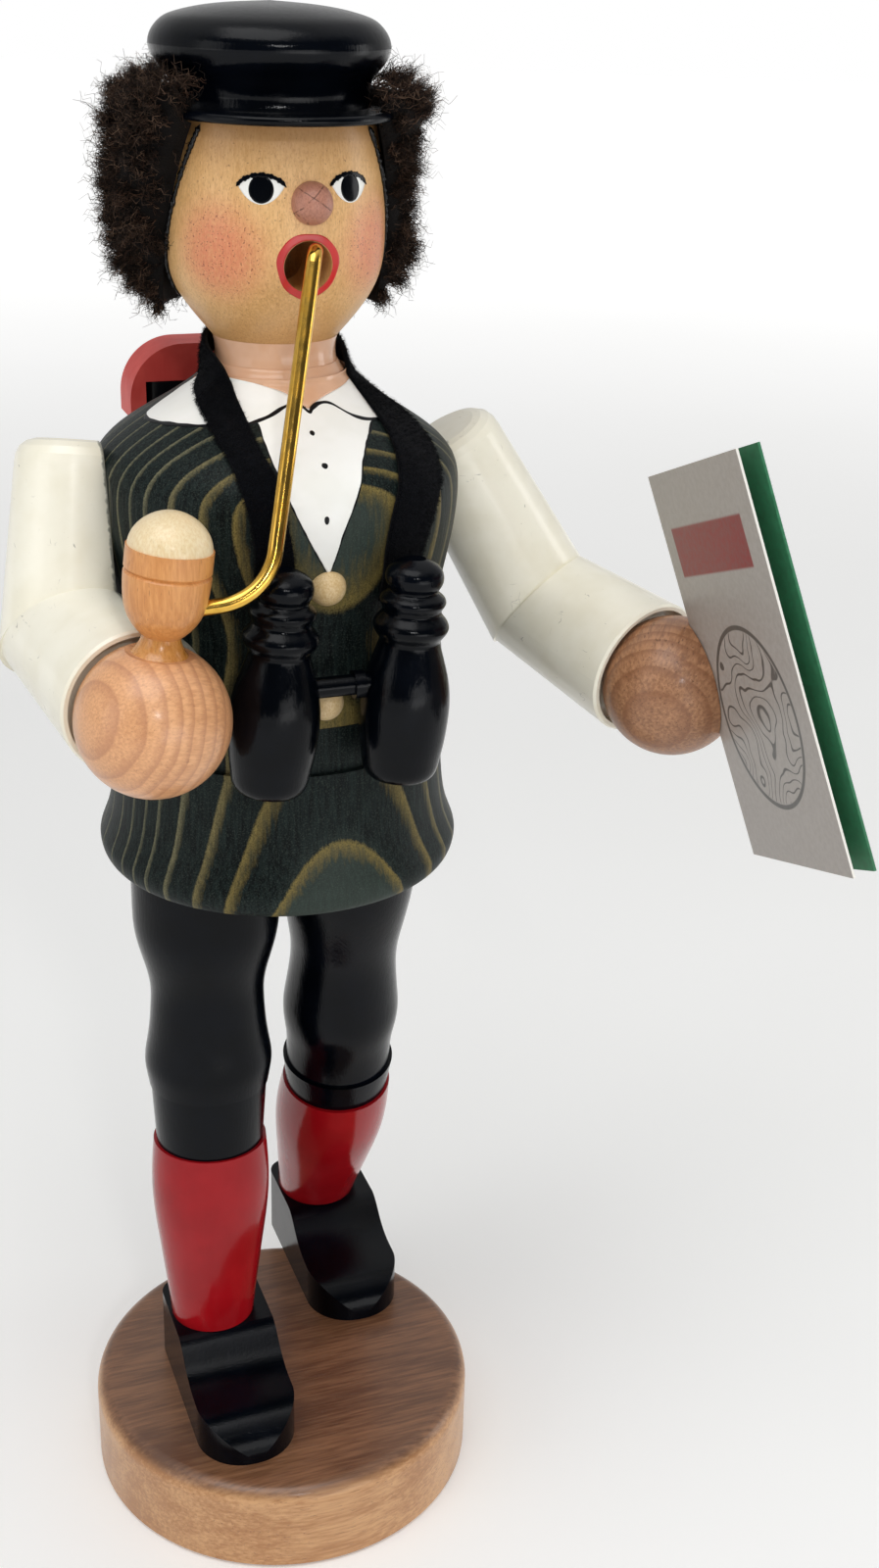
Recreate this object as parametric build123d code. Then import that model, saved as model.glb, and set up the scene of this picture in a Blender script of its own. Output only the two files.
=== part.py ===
from build123d import *
import os
from math import cos, radians, sin, sqrt

# A striding wooden incense smoker, millimetres, +Z up, front towards -Y.
# The origin is the centre of the base's underside. Right and left are the figure's own.

# Fits shared by the whole figure
dowel_radius = 3.0
dowel_clearance = 0.1
seam_gap = 0.2
running_clearance = 0.3
overrun = 60.0

# Base
base_radius = 47.5
base_height = 23.2
base_top_round = 4.0
base_foot_chamfer = 0.8

# Shoes
shoe_length = 51.2
shoe_width = 24.2
shoe_height = 18.4
shoe_step_reach = 29.0
shoe_toe_height = 11.0
shoe_toe_corner = 11.5
shoe_heel_corner = 5.0
shoe_toe_right = (-16.1, -34.0)
shoe_toe_left = (24.5, 7.6)

# Legs: foot points on the shoes, knee points on the leg axes, hip points under the skirt
foot_right = (-17.2, 4.0)
foot_left = (23.3, 47.0)
hip_right = (-14.6, 10.5)
hip_left = (19.0, 5.5)
leg_rise = 149.9
knee_rise_right = 68.7
knee_left = (20.7, 20.5)
knee_rise_left = 69.5
stocking_radius = 14.3
cuff_radius = 13.9
cuff_height_right = 15.8
cuff_height_left = 8.0
breeches_radius_right = 17.2
breeches_radius_left = 16.2
thigh_gap = 0.3
leg_dowel_depth = 8.0

# Coat skirt with its belt band and the spigot that the upper half sits on
skirt_radius = 39.7
skirt_underside_radius = 38.4
skirt_height = 30.4
belt_radius = 34.6
belt_height = 10.5
spigot_height = 6.5
vent_radius = 3.6
vent_reach = 20.2

# Incense plate
plate_radius = 14.5
plate_thickness = 0.6
plate_rim_height = 2.0
plate_seat_radius = 5.8
plate_seat_rise = 0.5
nail_radius = 0.7
nail_head_radius = 1.6
nail_head_height = 0.7
nail_depth = 5.0
nail_reach = 8.0

# Torso
chest_radius = 38.1
torso_height = 66.0
collar_radius = 13.6
chamber_radius = 26.5
chamber_straight = 38.0
chamber_throat_height = 52.0
throat_radius = 6.0
flank_cut = 1.5
back_cut = 2.5

# Neck
neck_radius = 12.9
neck_height = 6.6
neck_spigot_radius = 9.0
neck_spigot_depth = 6.0

# Head
head_radius = 22.0
head_height = 41.8
head_turn = 1.8
nose_turn = 3.2
mouth_radius = 4.8
mouth_height = 16.2
smoke_way_headroom = 1.5
nose_radius = 4.0
nose_height = 27.8

# Hat
visor_radius = 21.3
visor_reach = 7.5
visor_thickness = 1.8
hat_shift = -0.5
hat_band_radius = 19.4
hat_band_height = 4.2
crown_radius = 23.2
crown_height = 18.6
hat_dowel_radius = 4.0
hat_dowel_depth = 7.0

# Hair
hair_radius_right = 33.0
hair_radius_left = 30.4
hair_radius_back = 32.0
hair_height = 44.0
hair_drop = 5.0
hair_front_right = 57.0
hair_front_left = 42.0
hair_slope = 0.455
hair_crown_back = 4.0
hair_back_angle = 150.0

# Arms: shoulder, elbow and ball centres, out from the torso's flank, back, and over the torso's underside
shoulder_right = (5.0, 5.4, 46.6)
elbow_right = (9.2, -3.3, 13.6)
ball_right = (0.8, -45.9, 9.9)
shoulder_left = (4.7, 4.5, 45.0)
elbow_left = (26.1, 3.0, 9.1)
ball_left = (40.6, -37.3, 1.4)
arm_top_radius = 11.4
arm_radius = 13.4
arm_cap_round = 5.0
sleeve_end_radius = 15.6
sleeve_lip = 1.7
sleeve_recess = 4.0
sleeve_stop = 8.0
ball_radius = 15.0
ball_clearance = 0.15
arm_dowel_depth = 6.0

# Pipe
pipe_tilt = 7.3
pipe_seat_height = 13.5
pipe_foot_radius = 5.4
pipe_foot_height = 3.4
pipe_neck_radius = 3.6
pipe_foot_hollow = 0.3
bowl_radius = 8.2
bowl_height = 17.0
bowl_groove_depth = 0.5
bowl_groove_height = 12.5
bowl_rim_depth = 3.0
dome_height = 6.8
dome_radius = 7.9
stem_radius = 1.5
stem_clearance = 0.1
stem_low_bend = 12.0
stem_high_bend = 3.2
stem_bowl_height = 21.0
stem_bowl_reach = 4.6
# The low corner is counted from the right hand's ball, the others sideways, out from the face, over the mouth
stem_low_offset = (21.8, -3.9, 23.5)
stem_high_offset = (0.7, 3.6, 3.8)
stem_mouth_offset = (2.9, -3.0, 1.8)

# Vest buttons, heights over the torso's underside
button_radius = 3.8
button_rise = 3.0
button_heights = (29.9, 5.3)

# Rucksack
pack_width = 38.5
pack_depth = 12.5
pack_rise = 18.0
pack_height = 38.0
pack_corner = 4.0
lid_overhang = 3.5
lid_back = 1.5
lid_skirt = 8.0
lid_height = 8.0
lid_corner = 12.0
lid_back_corner = 3.5
pocket_width = 15.0
pocket_height = 19.0
pocket_depth = 5.0

# Folded map, its corner counted from the left hand's ball
map_width = 50.0
map_height = 83.0
card_thickness = 0.5
card_fold_gap = 0.3
card_spread = 8.0
map_pinch = 24.0
map_corner = (-4.9, 8.9, 43.7)
map_across = (-6.9, -48.9, 18.6)
map_down = (15.9, -31.0, -75.4)

# Binoculars, hung by their eyepieces at a height over the torso's underside
barrel_length = 45.3
barrel_radius = 9.0
barrel_stand_off = 5.1
eyepiece_height = 36.7
barrel_right = (-14.2, -10.4)
barrel_left = (13.1, 15.8)
bridge_height = 20.4
bridge_radius = 2.1
bridge_depth = 2.4
bridge_collar_radius = 2.8
bridge_collar_length = 2.2

# Neck ribbon
ribbon_thickness = 1.0
ribbon_lift = 0.35
ribbon_pivot_back = 8.0
ribbon_neck_height = 5.0
ribbon_collar_depth = 3.4
ribbon_pad_drop = 10.0
ribbon_pad_height = 6.0
ribbon_pad_width = 5.0

# Heights and places that follow from the sizes above
shoe_top = base_height + shoe_height
skirt_bottom = base_height + leg_rise
belt_bottom = skirt_bottom + skirt_height
torso_bottom = belt_bottom + belt_height
spigot_top = torso_bottom + spigot_height
torso_top = torso_bottom + torso_height
head_bottom = torso_top + neck_height
head_top = head_bottom + head_height
mouth_level = head_bottom + mouth_height
crown_bottom = head_top + visor_thickness
crown_top = crown_bottom + crown_height
spigot_radius = chamber_radius - running_clearance
flank_reach = chest_radius - flank_cut
back_reach = chest_radius - back_cut
pack_bottom = torso_bottom + pack_rise
barrel_reach = chest_radius + barrel_stand_off
barrel_bottom = torso_bottom + eyepiece_height - barrel_length


standing = (Align.CENTER, Align.CENTER, Align.MIN)


def turned(points, base, direction, closed_curve=True):
    """A solid of revolution: (radius, height) points along a smooth curve, closed to the axis."""
    places = [Vector(r, 0, h) for r, h in points]
    rim = Spline(*places) if closed_curve else Polyline(*places)
    low = Vector(0, 0, points[0][1])
    high = Vector(0, 0, points[-1][1])
    edges = [rim]
    if places[-1].X > 0:
        edges.append(Line(places[-1], high))
    edges.append(Line(high, low))
    if places[0].X > 0:
        edges.append(Line(low, places[0]))
    solid = revolve(make_face(edges), Axis.Z)
    return Plane(origin=base, z_dir=direction).location * solid


def rod(start, end, radius):
    """A round rod from start to end."""
    path = Vector(*end) - Vector(*start)
    return Plane(origin=start, z_dir=path).location * Cylinder(radius, path.length, align=standing)


def block_beyond(origin, normal):
    """A large block that fills the space on the normal's side of a plane."""
    side = 2 * overrun
    return Plane(origin=origin, z_dir=normal).location * Box(side, side, side, align=standing)


def along(start, end, distance):
    """The point at a distance from start on the way to end."""
    way = Vector(*end) - Vector(*start)
    return Vector(*start) + way * (distance / way.length)


def dowel_pair(centre, direction, depth, radius=dowel_radius):
    """A dowel and the slightly wider drill that makes its holes."""
    way = Vector(*direction).normalized()
    low = Vector(*centre) - way * depth
    high = Vector(*centre) + way * depth
    drill_low = low - way * dowel_clearance
    drill_high = high + way * dowel_clearance
    return rod(low, high, radius), rod(drill_low, drill_high, radius + dowel_clearance)


def one_solid(shape):
    """The largest solid of a shape."""
    return max(shape.solids(), key=lambda solid: solid.volume)


# Base disc with a rounded top edge
def make_base():
    disc = Cylinder(base_radius, base_height, align=standing)
    disc = fillet(disc.edges().group_by(Axis.Z)[-1], base_top_round)
    return chamfer(disc.edges().group_by(Axis.Z)[0], base_foot_chamfer)


# Shoe: a side outline carried across the width, cut to a round-toed plan
instep_shares = ((0.93, 0.90), (0.76, 0.40), (0.58, 0.08))
toe_shares = ((0.42, 0.0), (0.20, -0.10), (0.06, -0.42))


def make_shoe(toe):
    step = (shoe_step_reach, shoe_height)
    drop = shoe_height - shoe_toe_height
    curve = [(shoe_step_reach * s, shoe_toe_height + drop * h) for s, h in instep_shares]
    curve += [(shoe_step_reach * s, shoe_toe_height + shoe_toe_height * h) for s, h in toe_shares]
    places = [Vector(0, y, z) for y, z in [step] + curve + [(0, 0)]]
    heel_top = Vector(0, shoe_length, shoe_height)
    heel_foot = Vector(0, shoe_length, 0)
    sole = Line(places[-1], heel_foot)
    heel = Line(heel_foot, heel_top)
    ankle = Line(heel_top, places[0])
    side = make_face([Spline(*places), sole, heel, ankle])
    body = extrude(side, amount=shoe_width / 2, dir=(1, 0, 0), both=True)
    plan = Rectangle(shoe_width, shoe_length, align=(Align.CENTER, Align.MIN))
    plan = fillet(plan.vertices().group_by(Axis.Y)[0], shoe_toe_corner)
    plan = fillet(plan.vertices().group_by(Axis.Y)[-1], shoe_heel_corner)
    body = body & extrude(plan, amount=shoe_height)
    return Pos(toe[0], toe[1], base_height) * body


# Legs: turned pieces on leaning axes, each cut by the planes it meets
stocking_shares = (
    (-0.16, 0.70), (0.0, 0.72), (0.18, 0.79), (0.43, 0.90), (0.72, 1.0), (0.95, 0.97), (1.14, 0.90))
cuff_shares = ((0.0, 0.93), (1.0, 1.0))
breeches_shares_right = (
    (0.0, 0.83), (0.045, 0.86), (0.09, 0.88), (0.16, 0.85), (0.23, 0.81), (0.31, 0.785), (0.39, 0.78),
    (0.457, 0.82), (0.52, 0.885), (0.574, 0.94), (0.632, 0.98), (0.72, 0.995), (0.85, 1.0), (1.10, 1.0))
breeches_shares_left = (
    (0.0, 0.81), (0.06, 0.81), (0.12, 0.83), (0.18, 0.87), (0.235, 0.885), (0.30, 0.86), (0.38, 0.82),
    (0.46, 0.80), (0.53, 0.82), (0.60, 0.87), (0.66, 0.915), (0.73, 0.96), (0.80, 0.985), (0.90, 1.0),
    (1.10, 1.0))


def scaled(shares, length, radius):
    return [(radius * r, length * t) for t, r in shares]


def make_leg(foot, knee, hip, cuff_height, breeches, side):
    """Stocking from shoe to knee, cuff ring, breeches up to the skirt; side is -1 right, 1 left."""
    way_down = knee - foot
    way_up = (hip - knee).normalized()
    cuff_top = knee + way_up * cuff_height
    stocking = turned(scaled(stocking_shares, way_down.length, stocking_radius), foot, way_down)
    stocking -= block_beyond(foot, (0, 0, -1))
    stocking -= block_beyond(knee, way_up)
    cuff = turned(scaled(cuff_shares, cuff_height, cuff_radius), knee, way_up, closed_curve=False)
    thigh = hip - cuff_top
    shares, radius = breeches
    breeches = turned(scaled(shares, thigh.length, radius), cuff_top, way_up)
    breeches -= block_beyond(hip, (0, 0, 1))
    breeches -= block_beyond((vent_place[0] + side * thigh_gap / 2, 0, hip.Z), (-side, 0, 0))
    knee_middle = knee + way_up * (cuff_height / 2)
    knee_dowel, knee_drill = dowel_pair(knee_middle, way_up, cuff_height / 2 + leg_dowel_depth)
    hip_dowel, hip_drill = dowel_pair(hip, (0, 0, 1), leg_dowel_depth)
    ankle_dowel, ankle_drill = dowel_pair(foot, (0, 0, 1), leg_dowel_depth)
    pieces = {
        "stocking": stocking - knee_drill - ankle_drill,
        "knee_cuff": cuff - knee_drill,
        "breeches": breeches - knee_drill - hip_drill,
    }
    return pieces, [knee_dowel, hip_dowel, ankle_dowel], hip_drill, ankle_drill


foot_point_right = Vector(foot_right[0], foot_right[1], shoe_top)
foot_point_left = Vector(foot_left[0], foot_left[1], shoe_top)
hip_point_right = Vector(hip_right[0], hip_right[1], skirt_bottom)
hip_point_left = Vector(hip_left[0], hip_left[1], skirt_bottom)
knee_share_right = (base_height + knee_rise_right - shoe_top) / (skirt_bottom - shoe_top)
knee_point_right = foot_point_right + (hip_point_right - foot_point_right) * knee_share_right
knee_point_left = Vector(knee_left[0], knee_left[1], base_height + knee_rise_left)
vent_place = ((hip_right[0] + hip_left[0]) / 2, -vent_reach)


# Coat skirt: flared turning with a flat underside, the belt band and the spigot
skirt_shares = (
    (0.0, 0.0), (0.50, 0.03), (0.92, 0.085), (1.0, 0.14), (0.80, 0.22), (0.42, 0.36), (0.17, 0.55),
    (0.04, 0.80), (0.0, 1.0))


def make_skirt(hip_drills):
    flare = skirt_radius - skirt_underside_radius
    top_radius = belt_radius + flare
    points = [(skirt_underside_radius, 0)]
    for swell, rise in skirt_shares[1:]:
        inner = skirt_underside_radius if rise < skirt_shares[3][1] else top_radius
        points.append((inner + (skirt_radius - inner) * swell, skirt_height * rise))
    skirt = turned(points, (0, 0, skirt_bottom), (0, 0, 1))
    skirt += Pos(0, 0, belt_bottom) * Cylinder(belt_radius, belt_height, align=standing)
    skirt += Pos(0, 0, torso_bottom) * Cylinder(spigot_radius, spigot_height, align=standing)
    vent = rod((*vent_place, skirt_bottom - overrun), (*vent_place, spigot_top + overrun), vent_radius)
    for drill in hip_drills + nail_drills() + [vent]:
        skirt -= drill
    return skirt


# Incense plate with a turned-up rim and a raised seat for the cone, held by two nails
def nail_places():
    return [(nail_reach, 0, spigot_top), (-nail_reach, 0, spigot_top)]


def nail_drills():
    reach = nail_depth + dowel_clearance
    radius = nail_radius + dowel_clearance
    return [rod((x, y, z - reach), (x, y, z + overrun), radius) for x, y, z in nail_places()]


def make_plate():
    hollow = Cylinder(plate_radius - plate_thickness, plate_rim_height, align=standing)
    plate = Cylinder(plate_radius, plate_rim_height, align=standing) - Pos(0, 0, plate_thickness) * hollow
    plate += Cylinder(plate_seat_radius, plate_thickness + plate_seat_rise, align=standing)
    plate = Pos(0, 0, spigot_top) * plate
    for drill in nail_drills():
        plate -= drill
    return plate


def make_nails():
    nails = []
    for x, y, z in nail_places():
        head_foot = z + plate_thickness
        shank = rod((x, y, z - nail_depth), (x, y, head_foot), nail_radius)
        head = rod((x, y, head_foot), (x, y, head_foot + nail_head_height), nail_head_radius)
        nails.append(shank + head)
    return nails


# Torso: turned shell with the smoke chamber, its throat and flats for the arms and the rucksack
torso_shares = (
    (0.0, 0.945), (0.12, 0.93), (0.27, 0.91), (0.42, 0.952), (0.55, 0.99), (0.64, 1.0), (0.72, 0.978),
    (0.775, 0.91), (0.825, 0.80), (0.875, 0.66), (0.92, 0.535), (0.96, 0.44))


def torso_outline():
    points = scaled(torso_shares, torso_height, chest_radius)
    return points + [(collar_radius, torso_height)]


def torso_blank(lift=0.0):
    """The torso's turned outer form, or one that stands proud of it by lift."""
    points = [(r + lift, h + lift * h / torso_height) for r, h in torso_outline()]
    return turned(points, (0, 0, torso_bottom), (0, 0, 1))


def make_torso(drills):
    torso = torso_blank()
    chamber_foot = torso_bottom - running_clearance
    chamber_top = torso_bottom + chamber_straight
    cone_height = chamber_throat_height - chamber_straight
    seat_foot = torso_top - neck_spigot_depth - dowel_clearance
    middle = torso_bottom + torso_height / 2
    cutters = [
        Pos(0, 0, chamber_foot) * Cylinder(chamber_radius, chamber_top - chamber_foot, align=standing),
        Pos(0, 0, chamber_top) * Cone(chamber_radius, throat_radius, cone_height, align=standing),
        Pos(0, 0, chamber_top) * Cylinder(throat_radius, overrun, align=standing),
        Pos(0, 0, seat_foot) * Cylinder(neck_spigot_radius + dowel_clearance, overrun, align=standing),
        block_beyond((flank_reach, 0, middle), (1, 0, 0)),
        block_beyond((-flank_reach, 0, middle), (-1, 0, 0)),
        block_beyond((0, back_reach, middle), (0, 1, 0)),
    ]
    for cutter in cutters + drills:
        torso -= cutter
    return one_solid(torso)


# Neck: a turned sleeve with a spigot at each end, bored for the smoke
neck_shares = ((0.0, 1.02), (0.45, 0.955), (1.0, 0.985))


def make_neck():
    neck = turned(scaled(neck_shares, neck_height, neck_radius), (0, 0, torso_top), (0, 0, 1))
    spigot_span = neck_height + 2 * neck_spigot_depth
    spigot_foot = Pos(0, 0, torso_top - neck_spigot_depth)
    neck += spigot_foot * Cylinder(neck_spigot_radius, spigot_span, align=standing)
    return neck - spigot_foot * Cylinder(throat_radius, spigot_span, align=standing)


# Head: a turned egg, flat below and above, with the smoke way and the round mouth
head_shares = (
    (0.0, 0.575), (0.06, 0.675), (0.125, 0.775), (0.215, 0.89), (0.31, 0.964), (0.47, 1.0), (0.65, 0.99),
    (0.82, 0.96), (1.0, 0.905))
face_front = (sin(radians(head_turn)), -cos(radians(head_turn)), 0)


def head_blank():
    return turned(scaled(head_shares, head_height, head_radius), (0, 0, head_bottom), (0, 0, 1))


def make_head(hat_drill):
    head = head_blank()
    seat_depth = neck_spigot_depth + dowel_clearance
    seat_radius = neck_spigot_radius + dowel_clearance
    head -= Pos(0, 0, head_bottom) * Cylinder(seat_radius, seat_depth, align=standing)
    smoke_way_height = mouth_height + mouth_radius + smoke_way_headroom
    head -= Pos(0, 0, head_bottom) * Cylinder(throat_radius, smoke_way_height, align=standing)
    lips = Vector(*face_front) * (head_radius + overrun) + Vector(0, 0, mouth_level)
    head -= rod((0, 0, mouth_level), lips, mouth_radius)
    return head - hat_drill


def make_nose():
    turn = radians(nose_turn)
    seat = Vector(sin(turn) * head_radius, -cos(turn) * head_radius, head_bottom + nose_height)
    return one_solid(Pos(*seat) * Sphere(nose_radius) - head_blank())


# Hat: visor plate and turned crown on one dowel
crown_shares = (
    (0.31, 0.875), (0.42, 0.95), (0.565, 1.0), (0.694, 0.975), (0.763, 0.935), (0.823, 0.88), (0.88, 0.77),
    (0.93, 0.60), (0.973, 0.33), (1.0, 0.0))


def make_visor(hat_drill):
    plate = Cylinder(visor_radius, visor_thickness, align=standing)
    plate = Pos(*(Vector(*face_front) * visor_reach)) * plate
    plate += Cylinder(hat_band_radius, visor_thickness, align=standing)
    return Pos(hat_shift, 0, head_top) * plate - hat_drill


def make_crown(hat_drill):
    band = [(hat_band_radius, 0), (hat_band_radius, hat_band_height)]
    points = band + scaled(crown_shares, crown_height, crown_radius)
    return turned(points, (hat_shift, 0, crown_bottom), (0, 0, 1)) - hat_drill


# Hair: three sectors of one tufted ring round the sides and the back of the head
hair_full_shares = (
    (-0.16, 0.01), (0.0, 0.19), (0.0, 0.87), (0.14, 1.0), (0.62, 0.985), (0.93, 0.85), (1.0, 0.53),
    (0.95, 0.24), (0.71, 0.11), (0.33, 0.055), (0.0, 0.0))
hair_thin_shares = (
    (-0.10, 0.10), (0.0, 0.19), (0.0, 0.87), (0.14, 1.0), (0.80, 0.99), (1.0, 0.90), (0.62, 0.80),
    (0.55, 0.70), (0.68, 0.50), (0.88, 0.30), (1.0, 0.20), (0.75, 0.08), (0.35, 0.055), (0.0, 0.06))


def make_hair(start_angle, end_angle, radius, hair_shares):
    """A sector between two angles counted from the front towards the figure's left."""
    inner = head_radius + running_clearance + seam_gap
    foot = head_bottom + hair_drop
    rim = [Vector(inner + (radius - inner) * r, 0, foot + hair_height * h) for r, h in hair_shares]
    section = make_face(Polyline(*rim, close=True))
    turn = end_angle - start_angle
    return Rot(0, 0, start_angle - 90 + head_turn) * revolve(section, Axis.Z, revolution_arc=turn)


def trim_temple(hair, front_angle):
    """Leans the front edge back towards the jaw and keeps it off the visor."""
    temple = (0, -head_radius * cos(radians(front_angle)), crown_bottom)
    hair = hair - block_beyond(temple, (0, -1, -hair_slope))
    reach = visor_reach
    visor_room = Cylinder(visor_radius + running_clearance, overrun, align=standing)
    visor_room = Pos(face_front[0] * reach, face_front[1] * reach, head_top - running_clearance) * visor_room
    crown_room = Box(2 * overrun, 2 * overrun, overrun, align=(Align.CENTER, Align.MAX, Align.MIN))
    crown_room = Pos(0, hair_crown_back, head_top - running_clearance) * crown_room
    return one_solid(hair - visor_room - crown_room)


# Arms: rods with a domed shoulder, a mitred elbow, a flared cuff with a cup, and a ball hand
cap_shares = ((1.0, 0.0), (0.95, 0.35), (0.80, 0.66), (0.52, 0.88), (0.20, 0.98))
lip_shares = ((0.25, 0.34), (0.5, 0.0))


def arm_point(place, side):
    """A place counted from the flank and the torso's underside; side is -1 for right, 1 for left."""
    out, back, rise = place
    return Vector(side * (flank_reach + out), back, torso_bottom + rise)


def make_arm(shoulder, elbow, ball, side):
    up = (shoulder - elbow).normalized()
    out = (ball - elbow).normalized()
    mitre = (up - out).normalized()
    reach = (shoulder - elbow).length
    taper = (arm_radius - arm_top_radius) / reach
    outline = [(arm_radius + taper * 2 * arm_radius, -2 * arm_radius)]
    outline += [(arm_top_radius - arm_cap_round * (1 - r), reach + arm_cap_round * h) for r, h in cap_shares]
    outline += [(0, reach + arm_cap_round)]
    upper = turned(outline, elbow, up, closed_curve=False)
    upper -= block_beyond(elbow, -mitre)
    upper -= block_beyond((side * flank_reach, 0, elbow.Z), (-side, 0, 0))
    rim = ball - out * sleeve_stop
    tail = 2 * arm_radius
    span = (rim - elbow).length
    growth = (sleeve_end_radius - arm_radius) / span
    outline = [(arm_radius - growth * tail, -tail)]
    outline += [(sleeve_end_radius - sleeve_lip * r, span - sleeve_lip * h) for r, h in lip_shares]
    outline += [(0, span)]
    sleeve = turned(outline, elbow, out, closed_curve=False)
    sleeve -= block_beyond(elbow, mitre)
    sleeve -= rod(rim - out * sleeve_recess, rim + out * overrun, sleeve_end_radius - sleeve_lip)
    sleeve -= Pos(*ball) * Sphere(ball_radius + ball_clearance)
    if side < 0:
        sleeve -= Cylinder(flank_reach + running_clearance, 2 * (torso_top + overrun))
    flank_place = (side * flank_reach, shoulder.Y, shoulder.Z - arm_radius)
    shoulder_dowel, shoulder_drill = dowel_pair(flank_place, (1, 0, 0), arm_dowel_depth)
    elbow_dowel, elbow_drill = dowel_pair(elbow, mitre, arm_dowel_depth)
    wrist_dowel, wrist_drill = dowel_pair(ball - out * ball_radius, out, arm_dowel_depth)
    upper = upper - shoulder_drill - elbow_drill
    sleeve = sleeve - elbow_drill - wrist_drill
    hand = Pos(*ball) * Sphere(ball_radius) - wrist_drill
    dowels = [shoulder_dowel, elbow_dowel, wrist_dowel]
    return one_solid(upper), one_solid(sleeve), hand, dowels, shoulder_drill


# Pipe: foot, bowl and dome on a leaning axis through the right hand's ball
bowl_shares = ((0.0, 0.44), (0.10, 0.66), (0.25, 0.86), (0.45, 0.965), (0.70, 1.0))
dome_shares = ((0.0, 1.0), (0.40, 0.90), (0.72, 0.66), (0.93, 0.33), (1.0, 0.0))
pipe_way = Vector(sin(radians(pipe_tilt)), 0, cos(radians(pipe_tilt)))
pipe_base = arm_point(ball_right, -1)


def make_pipe_foot():
    middle = (pipe_foot_radius + pipe_neck_radius) / 2 - pipe_foot_hollow
    points = [(pipe_foot_radius, 0), (middle, pipe_foot_height / 2), (pipe_neck_radius, pipe_foot_height)]
    return turned(points, pipe_base + pipe_way * pipe_seat_height, pipe_way)


def make_pipe_bowl(stem_drill):
    foot = pipe_base + pipe_way * (pipe_seat_height + pipe_foot_height)
    points = scaled(bowl_shares, bowl_height, bowl_radius)
    groove_low = bowl_groove_height - bowl_groove_depth
    groove_high = bowl_groove_height + bowl_groove_depth
    lower = turned(points + [(bowl_radius, groove_low)], foot, pipe_way)
    groove_radius = bowl_radius - bowl_groove_depth
    middle = [(bowl_radius, groove_low), (groove_radius, bowl_groove_height), (bowl_radius, groove_high)]
    middle += [(bowl_radius, bowl_height)]
    bowl = lower + turned(middle, foot, pipe_way, closed_curve=False)
    rim = foot + pipe_way * bowl_height
    bowl -= rod(rim - pipe_way * bowl_rim_depth, rim + pipe_way * bowl_height, dome_radius - seam_gap)
    return bowl - stem_drill


def make_pipe_dome():
    rim = pipe_base + pipe_way * (pipe_seat_height + pipe_foot_height + bowl_height)
    dome = turned(scaled(dome_shares, dome_height, dome_radius), rim, pipe_way)
    return dome + rod(rim - pipe_way * (bowl_rim_depth - dowel_clearance), rim, dome_radius - 2 * seam_gap)


def mouth_point(offset):
    """A place counted sideways from the middle, out from the head's front, and over the mouth's middle."""
    sideways, stand_off, rise = offset
    return Vector(sideways, -head_radius - stand_off, mouth_level + rise)


def stem_route():
    low_corner = pipe_base + Vector(*stem_low_offset)
    start = along(pipe_base + pipe_way * stem_bowl_height, low_corner, stem_bowl_reach)
    corners = [start, low_corner, mouth_point(stem_high_offset), mouth_point(stem_mouth_offset)]
    return FilletPolyline(*corners, radius=[stem_low_bend, stem_high_bend])


def stem_body(radius):
    route = stem_route()
    return sweep(Plane(origin=route @ 0, z_dir=route % 0) * Circle(radius), path=route)


# Vest buttons: half beads seated on the torso
def make_buttons():
    beads = []
    blank = torso_blank()
    for height in button_heights:
        sunk = button_radius - button_rise - torso_radius_at(height)
        bead = Pos(0, sunk, torso_bottom + height) * Sphere(button_radius)
        beads.append(one_solid(bead - blank))
    return beads


def torso_radius_at(height):
    """The torso's outer radius at a height over its underside, between the points of its outline."""
    points = torso_outline()
    for (low_r, low_h), (high_r, high_h) in zip(points, points[1:]):
        if low_h <= height <= high_h:
            return low_r + (high_r - low_r) * (height - low_h) / (high_h - low_h)
    return points[-1][0]


# Rucksack: body, a lid that lies over its top like a cap, and two pockets
def front_block(width, height, depth, low):
    """A block behind the torso's back flat, with its front face on it."""
    block = Box(width, depth, height, align=(Align.CENTER, Align.MIN, Align.MIN))
    return Pos(0, back_reach, low) * block


def make_rucksack():
    body = front_block(pack_width, pack_height, pack_depth, pack_bottom)
    body = fillet(body.edges().filter_by(Axis.Z), pack_corner)
    lid_low = pack_bottom + pack_height - lid_skirt
    tall = lid_skirt + lid_height
    lid = front_block(pack_width + 2 * lid_overhang, tall, pack_depth + lid_back, lid_low)
    lid = fillet(lid.edges().filter_by(Axis.Y).group_by(Axis.Z)[-1], lid_corner)
    lid = fillet(lid.edges().group_by(Axis.Y)[-1], lid_back_corner)
    lid -= front_block(pack_width, lid_skirt, pack_depth, lid_low)
    pockets = []
    for side in (-1, 1):
        pocket = Box(pocket_width, pocket_depth, pocket_height, align=(Align.CENTER, Align.MIN, Align.MIN))
        pocket = fillet(pocket.edges().group_by(Axis.Y)[-1], pocket_depth / 3)
        place = (side * pack_width / 4, back_reach + pack_depth, pack_bottom + pack_corner)
        pockets.append(Pos(*place) * pocket)
    return body, lid, pockets


# Folded map: a card folded along its left edge, the fold pushed into the left hand's slot
def map_plane():
    """Origin at the fold's top corner on the front leaf, x across the leaf, y down the fold."""
    across = Vector(*map_across).normalized()
    down = Vector(*map_down).normalized()
    return Plane(origin=arm_point(ball_left, 1) + Vector(*map_corner), x_dir=across, z_dir=across.cross(down))


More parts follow.
